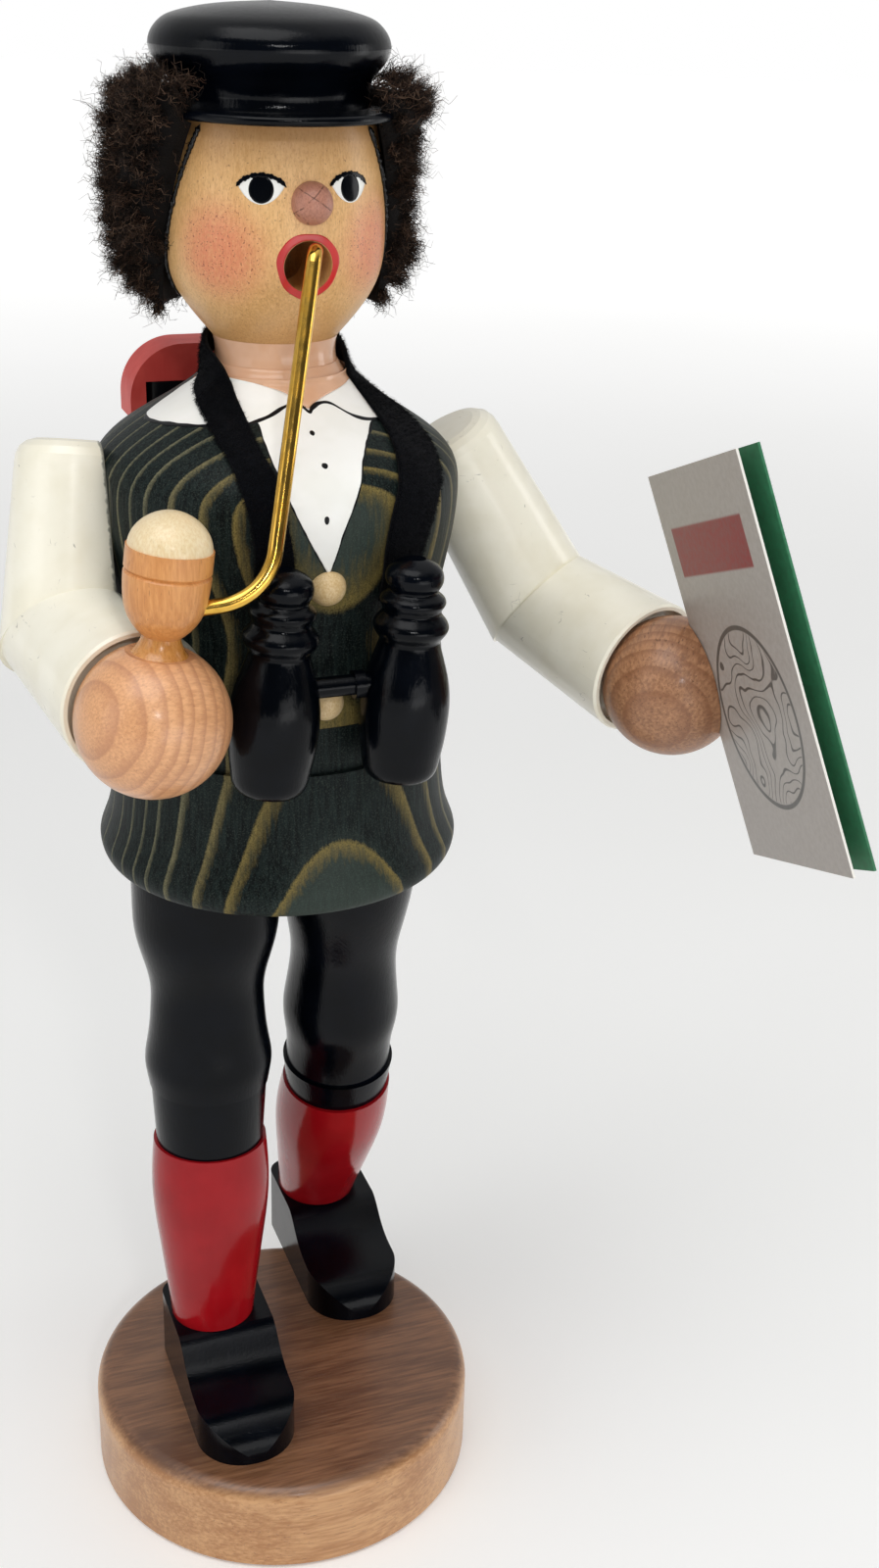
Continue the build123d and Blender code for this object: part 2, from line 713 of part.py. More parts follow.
def make_map():
    """Both leaves lie flat together inside the slot and the back one springs open beyond it."""
    spread = (map_width - map_pinch) * sin(radians(card_spread))
    thick = card_thickness
    inner = thick + card_fold_gap
    outer = inner + thick
    front_leaf = [(0, 0), (map_width, 0), (map_width, -thick), (thick, -thick)]
    back_leaf = [(thick, -inner), (map_pinch, -inner), (map_width, -inner - spread)]
    back_leaf += [(map_width, -outer - spread), (map_pinch, -outer), (0, -outer)]
    section = Polyline(*front_leaf, *back_leaf, close=True)
    leaf = map_plane()
    section_plane = Plane(origin=leaf.origin, x_dir=leaf.x_dir, z_dir=leaf.y_dir)
    return extrude(section_plane * make_face(section), amount=map_height, dir=leaf.y_dir)


def map_slot():
    """The cutter for the hand's slot: both leaves with clearance, open towards the free edge."""
    low = -2 * card_thickness - card_fold_gap - ball_clearance
    high = ball_clearance
    leaf = map_plane()
    section_plane = Plane(origin=leaf.origin, x_dir=leaf.x_dir, z_dir=leaf.y_dir)
    left = -running_clearance
    section = Polyline((left, low), (map_width, low), (map_width, high), (left, high), close=True)
    return extrude(section_plane * make_face(section), amount=map_height, dir=leaf.y_dir)


# Binoculars: two turned barrels joined by a bridge with a collar
barrel_shares = (
    (0.0, 0.70), (0.02, 0.79), (0.086, 0.885), (0.163, 0.945), (0.258, 0.99), (0.353, 1.0), (0.466, 0.92),
    (0.547, 0.80), (0.61, 0.70), (0.638, 0.68), (0.665, 0.76), (0.70, 0.835), (0.735, 0.76), (0.768, 0.65),
    (0.79, 0.685), (0.812, 0.73), (0.835, 0.68), (0.86, 0.55), (0.885, 0.60), (0.914, 0.64), (0.95, 0.60),
    (0.985, 0.40), (1.0, 0.22))


def barrel_ends(places):
    low = Vector(places[0], -barrel_reach, barrel_bottom)
    top_lift = sqrt(barrel_length ** 2 - (places[1] - places[0]) ** 2)
    return low, Vector(places[1], -barrel_reach, barrel_bottom + top_lift)


def bridge_places():
    height = barrel_bottom + bridge_height
    ends = []
    for places, side in ((barrel_right, 1), (barrel_left, -1)):
        low, high = barrel_ends(places)
        axis = low + (high - low) * (bridge_height / barrel_length)
        ends.append(Vector(axis.X + side * (barrel_radius - bridge_depth), -barrel_reach, height))
    return ends


def make_binoculars():
    start, end = bridge_places()
    bridge = rod(start, end, bridge_radius)
    drill_start = along(start, end, -dowel_clearance)
    drill = rod(drill_start, along(end, start, -dowel_clearance), bridge_radius + dowel_clearance)
    collar_end = along(end, start, bridge_depth)
    bridge += rod(along(collar_end, start, bridge_collar_length), collar_end, bridge_collar_radius)
    barrels = []
    for places in (barrel_right, barrel_left):
        low, high = barrel_ends(places)
        barrel = turned(scaled(barrel_shares, barrel_length, barrel_radius), low, high - low) - drill
        barrels.append(barrel - collar_room(collar_end, start))
    return barrels[0], barrels[1], bridge


def collar_room(collar_end, start):
    """Room round the bridge's collar, so that it meets the barrel without cutting into it."""
    far = along(collar_end, start, bridge_collar_length + dowel_clearance)
    return rod(far, along(collar_end, start, -dowel_clearance), bridge_collar_radius + dowel_clearance)


# Neck ribbon: two falls over the chest, each tied behind an eyepiece, and a loop behind the neck.
# The falls' edges are seen from the front, as shares of the chest's radius and the torso's height.
fall_right_shares = (
    (-0.433, 0.992), (-0.488, 0.936), (-0.475, 0.894), (-0.449, 0.841), (-0.433, 0.789), (-0.415, 0.718),
    (-0.391, 0.642), (-0.373, 0.545), (-0.378, 0.386), (-0.194, 0.386), (-0.189, 0.545), (-0.215, 0.642),
    (-0.236, 0.720), (-0.244, 0.792), (-0.289, 0.845), (-0.310, 0.902), (-0.336, 0.938), (-0.354, 0.986))
fall_left_shares = (
    (0.341, 0.989), (0.362, 0.959), (0.420, 0.897), (0.441, 0.852), (0.423, 0.792), (0.378, 0.708),
    (0.346, 0.648), (0.315, 0.561), (0.304, 0.386), (0.499, 0.386), (0.541, 0.515), (0.572, 0.573),
    (0.614, 0.633), (0.654, 0.708), (0.685, 0.771), (0.688, 0.823), (0.646, 0.864), (0.591, 0.917),
    (0.472, 0.979))


def ribbon_skin():
    return torso_blank(ribbon_lift + ribbon_thickness) - torso_blank(ribbon_lift)


def make_fall(fall_shares, barrel, barrel_top):
    """A strip of a thin skin round the torso, with a pad that fills the space behind the eyepiece."""
    outline = [(chest_radius * x, torso_bottom + torso_height * z) for x, z in fall_shares]
    section = Plane.XZ * make_face(Polyline(*outline, close=True))
    strip = ribbon_skin() & extrude(section, amount=overrun)
    strip -= block_beyond((0, -ribbon_pivot_back, torso_top), (0, 1, 0))
    low = Vector(barrel_top.X, barrel_top.Y, barrel_top.Z - ribbon_pad_drop)
    pad = Box(ribbon_pad_width, overrun, ribbon_pad_height, align=(Align.CENTER, Align.MIN, Align.MIN))
    pad = Pos(*low) * pad - torso_blank(ribbon_lift) - barrel
    pad = max(pad.solids(), key=lambda solid: -solid.center().Y)
    return one_solid(one_solid(strip) - barrel + pad)


def make_neck_loop():
    inner = neck_radius * neck_shares[0][1] + ribbon_lift
    ring = Cylinder(inner + ribbon_thickness, ribbon_neck_height, align=standing)
    ring = Pos(0, 0, torso_top + ribbon_lift) * ring
    ring += ribbon_skin() - block_beyond((0, 0, torso_top - ribbon_collar_depth), (0, 0, -1))
    ring -= Pos(0, 0, torso_bottom) * Cylinder(inner, torso_height + overrun, align=standing)
    ring -= block_beyond((0, running_clearance - ribbon_pivot_back, torso_top), (0, -1, 0))
    return one_solid(ring)


# The whole figure, sub-part by sub-part
def build():
    pieces = {"base_disc": make_base()}
    leg_dowels = []
    hip_drills = []
    breeches_right = (breeches_shares_right, breeches_radius_right)
    breeches_left = (breeches_shares_left, breeches_radius_left)
    points_right = (foot_point_right, knee_point_right, hip_point_right)
    points_left = (foot_point_left, knee_point_left, hip_point_left)
    legs = (
        ("right", shoe_toe_right, points_right, cuff_height_right, breeches_right, -1),
        ("left", shoe_toe_left, points_left, cuff_height_left, breeches_left, 1),
    )
    for name, toe, (foot, knee, hip), cuff_height, breeches, side in legs:
        leg, dowels, hip_drill, ankle_drill = make_leg(foot, knee, hip, cuff_height, breeches, side)
        for piece, shape in leg.items():
            pieces[piece + "_" + name] = shape
        pieces["shoe_" + name] = make_shoe(toe) - ankle_drill
        leg_dowels += dowels
        hip_drills.append(hip_drill)
    pieces["leg_dowels"] = Compound(children=leg_dowels)
    pieces["coat_skirt"] = make_skirt(hip_drills)
    pieces["incense_plate"] = make_plate()
    pieces["plate_nails"] = Compound(children=make_nails())

    arm_dowels = []
    shoulder_drills = []
    arms = (
        ("right", shoulder_right, elbow_right, ball_right, -1),
        ("left", shoulder_left, elbow_left, ball_left, 1),
    )
    for name, *places, side in arms:
        shoulder, elbow, ball = [arm_point(place, side) for place in places]
        upper, sleeve, hand, dowels, shoulder_drill = make_arm(shoulder, elbow, ball, side)
        pieces["upper_arm_" + name] = upper
        pieces["forearm_" + name] = sleeve
        pieces["hand_" + name] = hand
        arm_dowels += dowels
        shoulder_drills.append(shoulder_drill)
    pieces["hand_right"] -= block_beyond(pipe_base + pipe_way * pipe_seat_height, pipe_way)
    pieces["hand_left"] -= map_slot()
    pieces["arm_dowels"] = Compound(children=arm_dowels)
    pieces["folded_map"] = make_map()

    pieces["vest_torso"] = make_torso(shoulder_drills)
    pieces["vest_buttons"] = Compound(children=make_buttons())
    pieces["neck_sleeve"] = make_neck()
    hat_middle = (hat_shift, 0, head_top + visor_thickness / 2)
    hat_reach = visor_thickness / 2 + hat_dowel_depth
    pieces["hat_dowel"], hat_drill = dowel_pair(hat_middle, (0, 0, 1), hat_reach, hat_dowel_radius)
    pieces["head"] = make_head(hat_drill)
    pieces["nose"] = make_nose()
    pieces["hat_visor"] = make_visor(hat_drill)
    pieces["hat_crown"] = make_crown(hat_drill)
    right_hair = make_hair(seam_gap - hair_back_angle, -hair_front_right, hair_radius_right, hair_full_shares)
    left_hair = make_hair(hair_front_left, hair_back_angle - seam_gap, hair_radius_left, hair_thin_shares)
    pieces["hair_right"] = trim_temple(right_hair, hair_front_right)
    pieces["hair_left"] = trim_temple(left_hair, hair_front_left)
    back_end = 360 - hair_back_angle
    pieces["hair_back"] = make_hair(hair_back_angle, back_end, hair_radius_back, hair_full_shares)

    pieces["pipe_foot"] = make_pipe_foot()
    pieces["pipe_bowl"] = make_pipe_bowl(stem_body(stem_radius + stem_clearance))
    pieces["pipe_dome"] = make_pipe_dome()
    pieces["pipe_stem"] = stem_body(stem_radius)

    body, lid, pockets = make_rucksack()
    pieces["rucksack_body"] = body
    pieces["rucksack_lid"] = lid
    pieces["rucksack_pockets"] = Compound(children=pockets)

    pieces["binocular_right"], pieces["binocular_left"], pieces["binocular_bridge"] = make_binoculars()
    eyepiece_right = barrel_ends(barrel_right)[1]
    eyepiece_left = barrel_ends(barrel_left)[1]
    pieces["strap_right"] = make_fall(fall_right_shares, pieces["binocular_right"], eyepiece_right)
    pieces["strap_left"] = make_fall(fall_left_shares, pieces["binocular_left"], eyepiece_left)
    pieces["strap_neck"] = make_neck_loop()
    return pieces


if __name__ == "__main__":
    os.makedirs("parts", exist_ok=True)
    for node, shape in build().items():
        export_step(shape, "parts/" + node + ".step")
        print(node, len(shape.solids()), round(shape.volume, 1))
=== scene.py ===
"""A striding wooden incense smoker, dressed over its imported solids.

Sizes are millimetres, turned into metres where a mesh is made. +Z is up and the figure looks towards -Y.
Azimuth is counted in degrees from the front towards the figure's left. Right and left are the figure's own.
Colours are paint chips of 0 to 255 values.
"""

import bpy
import numpy as np
from mathutils import Matrix, Vector


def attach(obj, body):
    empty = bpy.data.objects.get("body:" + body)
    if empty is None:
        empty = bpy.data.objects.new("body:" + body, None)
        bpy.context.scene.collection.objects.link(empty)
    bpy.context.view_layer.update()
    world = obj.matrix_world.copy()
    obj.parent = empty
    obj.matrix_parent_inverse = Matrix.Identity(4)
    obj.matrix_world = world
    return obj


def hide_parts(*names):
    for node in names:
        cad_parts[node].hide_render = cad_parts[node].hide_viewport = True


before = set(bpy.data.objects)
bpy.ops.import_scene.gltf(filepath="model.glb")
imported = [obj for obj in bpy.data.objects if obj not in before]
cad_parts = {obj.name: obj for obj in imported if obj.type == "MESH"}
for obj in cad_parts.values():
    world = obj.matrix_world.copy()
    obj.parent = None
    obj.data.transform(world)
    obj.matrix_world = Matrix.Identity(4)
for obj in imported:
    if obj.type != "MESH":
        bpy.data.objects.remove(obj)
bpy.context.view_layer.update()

mm = 0.001
rng = np.random.default_rng(1907)

# Places and sizes of the solids
skirt_bottom = 173.1
torso_bottom = 214.0
torso_top = 280.0
chamber_top = 252.0
head_bottom = 286.6
head_top = 328.4
head_radius = 22.0
head_turn = 1.8
mouth_level = 302.8
mouth_radius = 4.86
visor_thickness = 1.8
ball_radius = 15
ball_right = (-37.4, -45.9, 223.9)
ball_left = (77.2, -37.3, 215.4)
map_width = 50.0
map_height = 83.0

# Finishes by name
finishes = {}


# Meshes
def unit(ways):
    """Rows of vectors, each divided by its own length."""
    return ways / np.maximum(np.linalg.norm(ways, axis=-1, keepdims=True), 1e-9)


def polar(radius, azimuth, height):
    """Points at a radius from the figure's axis, an azimuth and a height."""
    turn = np.radians(azimuth)
    return np.stack(np.broadcast_arrays(radius * np.sin(turn), -radius * np.cos(turn), height), axis=-1)


def grid_faces(rows, columns, closed_rows=False):
    """Quads between neighbouring points of a rows by columns grid; closed rows join last to first."""
    last = columns if closed_rows else columns - 1
    row, column = np.meshgrid(np.arange(rows - 1), np.arange(last), indexing="ij")
    after = (column + 1) % columns
    corners = (row * columns + column, row * columns + after, (row + 1) * columns + after,
               (row + 1) * columns + column)
    return np.stack(corners, axis=-1).reshape(-1, 4)


def shell_faces(rows, columns, flipped):
    """Walls and two lids of a band whose rows run out over its face and back under it."""
    width = 2 * columns
    ends = np.arange(columns - 1)
    lid = np.stack((ends, ends + 1, width - 2 - ends, width - 1 - ends), axis=-1)
    faces = [grid_faces(rows, width, True), lid[:, ::-1], lid + (rows - 1) * width]
    return [part[:, ::-1] for part in faces] if flipped else faces


def make_piece(name, points, faces, finish, body="upper", flat=None):
    """An object from points in millimetres and face arrays, which rides on a body."""
    mesh = bpy.data.meshes.new(name)
    points = np.asarray(points, float).reshape(-1, 3) * mm
    corners = np.concatenate([part.ravel() for part in faces]).astype(np.int32)
    counts = np.concatenate([np.full(len(part), part.shape[1]) for part in faces])
    starts = np.concatenate(([0], np.cumsum(counts)[:-1]))
    mesh.vertices.add(len(points))
    mesh.vertices.foreach_set("co", points.ravel())
    mesh.loops.add(len(corners))
    mesh.loops.foreach_set("vertex_index", corners)
    mesh.polygons.add(len(counts))
    mesh.polygons.foreach_set("loop_start", starts.astype(np.int32))
    mesh.update(calc_edges=True)
    mesh.validate()
    mesh.polygons.foreach_set("use_smooth", np.ones(len(mesh.polygons), bool))
    if flat is not None:
        layer = mesh.uv_layers.new(name="flat")
        index = np.zeros(len(mesh.loops), np.int32)
        mesh.loops.foreach_get("vertex_index", index)
        layer.data.foreach_set("uv", np.asarray(flat, float).reshape(-1, 2)[index].ravel())
    piece = bpy.data.objects.new(name, mesh)
    bpy.context.scene.collection.objects.link(piece)
    mesh.materials.append(finishes[finish])
    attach(piece, body)
    return piece


def thicken(piece, depth):
    """Turns a skin's faces away from the figure's axis and gives it a wall below them."""
    face = piece.data.polygons[len(piece.data.polygons) // 2]
    if face.normal.x * face.center.x + face.normal.y * face.center.y < 0:
        piece.data.flip_normals()
    wall = piece.modifiers.new("wall", "SOLIDIFY")
    wall.thickness = depth * mm
    wall.offset = -1


def front_profile(node, least_radius, low, high, slice_height=0.4):
    """Outer radius over height of a turned node: the largest radius of its front points in thin slices."""
    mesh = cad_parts[node].data
    points = np.zeros(len(mesh.vertices) * 3)
    mesh.vertices.foreach_get("co", points)
    points = points.reshape(-1, 3) / mm
    radius = np.hypot(points[:, 0], points[:, 1])
    keep = (points[:, 1] < -0.3 * radius) & (radius > least_radius(points[:, 2]))
    keep &= (points[:, 2] >= low) & (points[:, 2] <= high)
    slices = np.floor((points[keep, 2] - low) / slice_height).astype(int)
    best = np.zeros(slices.max() + 1)
    np.maximum.at(best, slices, radius[keep])
    heights = np.zeros_like(best)
    leads = radius[keep] >= best[slices] - 1e-6
    heights[slices[leads]] = points[keep, 2][leads]
    filled = best > 0
    return heights[filled], best[filled]


torso_profile = front_profile("vest_torso", lambda z: np.where(z < chamber_top, 27.5, 12.5), 214.5, 279.9)
neck_profile = front_profile("neck_sleeve", lambda z: 11.0, torso_top, head_bottom)
head_profile = front_profile("head", lambda z: 12.3, 286.7, 328.3)


def on_turning(profile, azimuth, height, lift):
    """Points over a turned surface, lifted outwards."""
    return polar(np.interp(height, *profile) + lift, azimuth, height)


def curve(points, count, closed=False):
    """A smooth curve through points: Catmull-Rom pieces, sampled evenly along its length."""
    points = np.asarray(points, float)
    if closed:
        padded = np.vstack((points[-1], points, points[:2]))
    else:
        padded = np.vstack((2 * points[0] - points[1], points, 2 * points[-1] - points[-2]))
    before, start, end, after = [padded[k:len(padded) - 3 + k, None] for k in range(4)]
    t = np.linspace(0, 1, 24, endpoint=False)[None, :, None]
    dense = 0.5 * (2 * start + (end - before) * t + (2 * before - 5 * start + 4 * end - after) * t ** 2
                   + (3 * start - before - 3 * end + after) * t ** 3)
    dense = np.vstack((dense.reshape(-1, points.shape[1]), end[-1]))
    travel = np.concatenate(([0], np.cumsum(np.linalg.norm(np.diff(dense, axis=0), axis=1))))
    stops = np.linspace(0, travel[-1], count)
    return np.stack([np.interp(stops, travel, track) for track in dense.T], axis=-1)


# Material nodes
class Signal:
    """A node's output. Arithmetic with it makes Math nodes in its tree."""

    def __init__(self, socket):
        self.socket = socket
        self.tree = socket.id_data

    def __add__(self, other):
        return math_of("ADD", self, other)

    def __sub__(self, other):
        return math_of("SUBTRACT", self, other)

    def __rsub__(self, other):
        return math_of("SUBTRACT", other, self)

    def __mul__(self, other):
        return math_of("MULTIPLY", self, other)

    def __truediv__(self, other):
        return math_of("DIVIDE", self, other)


def feed(value, socket):
    """Links a signal to a socket, or sets the socket to a plain value."""
    if isinstance(value, Signal):
        value.tree.links.new(value.socket, socket)
    else:
        socket.default_value = value


def add(tree, kind, settings=(), **sockets):
    """A node whose sockets, named with underscores for spaces, take values or signals."""
    node = tree.nodes.new(kind)
    for name, value in dict(settings).items():
        setattr(node, name, value)
    for name, value in sockets.items():
        feed(value, node.inputs[name.replace("_", " ")])
    return node


def combine(kind, settings, values, output=0):
    """An output of a node whose first sockets take the values, at least one of them a signal."""
    tree = [value.tree for value in values if isinstance(value, Signal)][0]
    node = add(tree, kind, settings)
    for socket, value in zip(node.inputs, values):
        feed(value, socket)
    return Signal(node.outputs[output])


def math_of(operation, *values, clamp=False):
    """The result of a Math node."""
    return combine("ShaderNodeMath", {"operation": operation, "use_clamp": clamp}, values)


def vector_of(operation, *values, output=0):
    """The result of a Vector Math node; its output 1 is a number."""
    return combine("ShaderNodeVectorMath", {"operation": operation}, values, output)


def split(vector):
    """A vector's three numbers."""
    return [Signal(socket) for socket in add(vector.tree, "ShaderNodeSeparateXYZ", Vector=vector).outputs]


def join(x, y, z):
    """A vector from three numbers."""
    return Signal(add(x.tree, "ShaderNodeCombineXYZ", X=x, Y=y, Z=z).outputs[0])


def along(vector, way):
    """How far a vector reaches along a way."""
    return vector_of("DOT_PRODUCT", vector, tuple(way), output=1)


def away(place, centre):
    """The distance of a place from a centre."""
    return vector_of("DISTANCE", place, tuple(centre), output=1)


def stretched(place, shares):
    """A place with each of its three numbers multiplied by a share."""
    return vector_of("MULTIPLY", place, shares)


def chip(values):
    """The linear colour of a paint chip."""
    share = np.array(values) / 255.0
    linear = np.where(share <= 0.04045, share / 12.92, ((share + 0.055) / 1.055) ** 2.4)
    return (*linear.tolist(), 1.0)


def blend(share, first, second):
    """The colour between two, each a signal or a paint chip, by a share."""
    node = add(share.tree, "ShaderNodeMix", {"data_type": "RGBA"})
    for index, value in ((0, share), (6, first), (7, second)):
        feed(chip(value) if isinstance(value, tuple) else value, node.inputs[index])
    return Signal(node.outputs[2])


def spread(value, low, high, out_low=0.0, out_high=1.0):
    """A value carried smoothly from one range to another and held at its ends."""
    return combine("ShaderNodeMapRange", {"interpolation_type": "SMOOTHSTEP"},
                   (value, low, high, out_low, out_high))


def fall(value, low, high):
    """One below a range, nought above it."""
    return spread(value, low, high, 1.0, 0.0)


def within(value, low, high, soft):
    """One between two limits with soft edges, nought outside them."""
    return spread(value, low - soft, low + soft) * fall(value, high - soft, high + soft)


def cloud(place, scale, detail=3.0, rough=0.55):
    """Noise at a scale per millimetre."""
    return Signal(add(place.tree, "ShaderNodeTexNoise", Vector=place, Scale=scale, Detail=detail,
                      Roughness=rough).outputs[0])


def new_group(name, formula, outputs, **inputs):
    """A node group that runs a formula on its inputs: numbers with a start, vectors where it is None."""
    tree = bpy.data.node_groups.new(name, "ShaderNodeTree")
    for label, start in inputs.items():
        kind = "NodeSocketVector" if start is None else "NodeSocketFloat"
        socket = tree.interface.new_socket(label, in_out="INPUT", socket_type=kind)
        if start is not None:
            socket.default_value = start
    for label in outputs:
        tree.interface.new_socket(label, in_out="OUTPUT", socket_type="NodeSocketFloat")
    source = tree.nodes.new("NodeGroupInput").outputs
    results = formula(*[Signal(source[label]) for label in inputs])
    end = tree.nodes.new("NodeGroupOutput").inputs
    for label, result in zip(outputs, results):
        feed(result, end[label])
    return tree


def use(group, **sockets):
    """The outputs of a group's node, at least one of its sockets fed with a signal."""
    tree = [value.tree for value in sockets.values() if isinstance(value, Signal)][0]
    node = add(tree, "ShaderNodeGroup", {"node_tree": group}, **sockets)
    return [Signal(socket) for socket in node.outputs]


def wood_fibre(place, fineness, length):
    """Noise drawn out along Z, its darkest short dashes as pores, and fine round speckle."""
    x, y, z = split(place)
    drawn = join(x, y, z / length)
    fine = fineness * 2.2
    pores = spread(cloud(drawn, fine, 2.0, 0.5), 0.64, 0.74)
    return cloud(drawn, fineness, 4.0, 0.6), pores, cloud(place, fine, 3.0, 0.7)


def growth_ring(distance, edge, width, fibre):
    """Full just inside its sharp edge, feathered away over its width by the fibre."""
    inside = (distance - edge) / width
    rise = math_of("MULTIPLY", inside, 9.0, clamp=True)
    return [rise * math_of("SUBTRACT", (1.0 - inside) * 1.7, fibre * 1.2, clamp=True)]


def lacquer_coat(place, ripple, dust, gloss):
    """Gloss paint over turned wood: an uneven gloss with dust, and the height of fine upright ripples."""
    x, y, z = split(place)
    ripples = cloud(join(x, y, z / 9.0), ripple, 3.0, 0.6)
    specks = spread(cloud(place, 3.2, 2.0, 0.6), 0.70, 0.78) * dust
    return gloss + (ripples - 0.5) * 0.12 + specks, ripples + cloud(place, 0.12, 2.0, 0.5) * 0.8


fibre_group = new_group("wood_fibre", wood_fibre, ("Fibre", "Pores", "Speckle"),
                        Place=None, Fineness=2.0, Length=12.0)
ring_group = new_group("growth_ring", growth_ring, ("Band",), Distance=0.0, Edge=0.0, Width=1.5, Fibre=0.5)
lacquer_group = new_group("lacquer_coat", lacquer_coat, ("Roughness", "Height"),
                          Place=None, Ripple=1.6, Dust=0.1, Gloss=0.15)


def new_finish(name, **shader_values):
    """A material with a Principled shader; returns the shader and the place in millimetres."""
    finishes[name] = bpy.data.materials.new(name)
    finishes[name].use_nodes = True
    tree = finishes[name].node_tree
    tree.nodes.clear()
    shader = add(tree, "ShaderNodeBsdfPrincipled", **shader_values)
    tree.links.new(shader.outputs[0], tree.nodes.new("ShaderNodeOutputMaterial").inputs[0])
    metres = Signal(tree.nodes.new("ShaderNodeTexCoord").outputs["Object"])
    scaled = add(tree, "ShaderNodeVectorMath", {"operation": "SCALE"}, Vector=metres, Scale=1 / mm)
    return shader, Signal(scaled.outputs[0])


def relief(shader, height, depth, socket="Normal"):
    """Bumps the surface by a height of up to depth millimetres."""
    bump = add(height.tree, "ShaderNodeBump", Height=height, Distance=depth * mm, Strength=1.0)
    feed(Signal(bump.outputs[0]), shader.inputs[socket])


def surface(shader, colour, roughness, height, depth):
    """Feeds a shader's colour, roughness and relief."""
    feed(colour, shader.inputs["Base Color"])
    feed(roughness, shader.inputs["Roughness"])
    relief(shader, height, depth)


def turned_place(place, centre, pole):
    """The place seen from a centre, turned so that its Z runs along the pole."""
    turn = Vector(pole).rotation_difference(Vector((0, 0, 1))).to_euler()
    moved = vector_of("SUBTRACT", place, tuple(centre))
    return Signal(add(place.tree, "ShaderNodeMapping", {"vector_type": "POINT"}, Vector=moved,
                      Rotation=tuple(turn)).outputs[0])


# Lacquers and paints
def lacquer(name, colour, second, gloss, ripple, depth, dust, level, coat):
    """A paint of two close colours under a coat; returns the shader, the place and the colour."""
    shader, place = new_finish(name, Coat_Weight=coat, Coat_Roughness=0.06, Specular_IOR_Level=level)
    roughness, height = use(lacquer_group, Place=place, Ripple=ripple, Dust=dust, Gloss=gloss)
    shade = blend(spread(cloud(place, 0.09), 0.35, 0.68), colour, second)
    surface(shader, shade, roughness, height, depth)
    relief(shader, height, depth * 0.8, "Coat Normal")
    return shader, place, shade


# Each paint's two colours, gloss, ripple with its depth, dust, specular level and coat
for paint in (
        ("black_lacquer", (2, 4, 8), (5, 8, 15), 0.13, 2.4, 0.055, 0.08, 0.1, 0.1),
        ("shirt_paint", (253, 253, 249), (247, 247, 241), 0.34, 1.2, 0.02, 0.1, 0.4, 0.1),
        ("ink_paint", (3, 4, 8), (7, 8, 12), 0.34, 2.0, 0.03, 0.1, 0.15, 0.03),
        ("iris_paint", (2, 4, 8), (5, 8, 14), 0.16, 1.0, 0.01, 0.02, 0.12, 0.1),
        ("lip_paint", (206, 28, 26), (190, 20, 22), 0.3, 2.0, 0.04, 0.1, 0.5, 0.3),
        ("flesh_paint", (230, 184, 150), (218, 170, 136), 0.14, 0.9, 0.025, 0.1, 0.3, 0.3),
        ("pack_red", (212, 84, 76), (196, 68, 62), 0.45, 1.2, 0.05, 0.2, 0.15, 0.03),
        ("pack_black", (5, 6, 9), (10, 11, 15), 0.3, 1.2, 0.05, 0.2, 0.12, 0.08),
        ("dark_glue", (4, 4, 6), (9, 8, 9), 0.05, 2.0, 0.1, 0.05, 0.2, 0.25)):
    lacquer(*paint)


def chipped_red():
    """Red lacquer with one ragged dark chip on a stocking."""
    flaw = (-30.2, 6.2, 80.0)
    flaw_squash = 0.42
    shader, place, shade = lacquer(
        "red_lacquer", (160, 18, 26), (150, 14, 22), gloss=0.15, ripple=1.4, depth=0.03, dust=0.1, level=0.2,
        coat=0.15)
    ragged = cloud(place, 1.3) * 2.4
    reach = away(stretched(place, (1, 1, flaw_squash)), (flaw[0], flaw[1], flaw[2] * flaw_squash))
    feed(blend(fall(reach + ragged, 1.75, 2.15), shade, (26, 9, 10)), shader.inputs["Base Color"])


def ivory():
    """White lacquer with hair scratches, faint specks, and a dark grey-green band where an arm meets the
    torso, partly glue dirt and partly painted shade of the gap.
    """
    flank = 36.6
    shader, place, shade = lacquer(
        "ivory_lacquer", (253, 249, 232), (247, 242, 222), gloss=0.3, ripple=0.9, depth=0.02, dust=0.12,
        level=0.45, coat=0.3)
    lines = []
    for slant, scale in (((0.2, 0.4, 1.0), 0.11), ((1.0, 0.15, 0.3), 0.16)):
        wave = cloud(stretched(place, slant), scale, 4.0)
        lines.append(fall(math_of("ABSOLUTE", wave - 0.5), 0.0012, 0.0035))
    scratch = math_of("MAXIMUM", *lines) * spread(cloud(place, 0.22, 2.0), 0.62, 0.70)
    # Partly dirt, partly painted shade: the arm's face against the torso and the edge beside it are darkened
    # to grey-green.
    off_flank = math_of("ABSOLUTE", split(place)[0]) - flank
    glue_dirt_and_gap_shade = fall(off_flank - cloud(place, 0.7) * 1.3, -0.5, 0.15)
    specks = spread(cloud(place, 1.9, 2.0, 0.6), 0.74, 0.79)
    marked = blend(scratch * 0.6, shade, (96, 92, 80))
    marked = blend(glue_dirt_and_gap_shade * 0.75, marked, (60, 66, 58))
    feed(blend(specks * 0.5, marked, (120, 108, 84)), shader.inputs["Base Color"])


chipped_red()
ivory()


# Stained and oiled woods
def strongest_ring(distance, fibre, rings):
    """The strongest of several growth rings, each an edge and a width in millimetres."""
    strongest = 0.0
    for edge, width in rings:
        band = use(ring_group, Distance=distance, Edge=edge, Width=width, Fibre=fibre)[0]
        strongest = math_of("MAXIMUM", strongest, band)
    return strongest


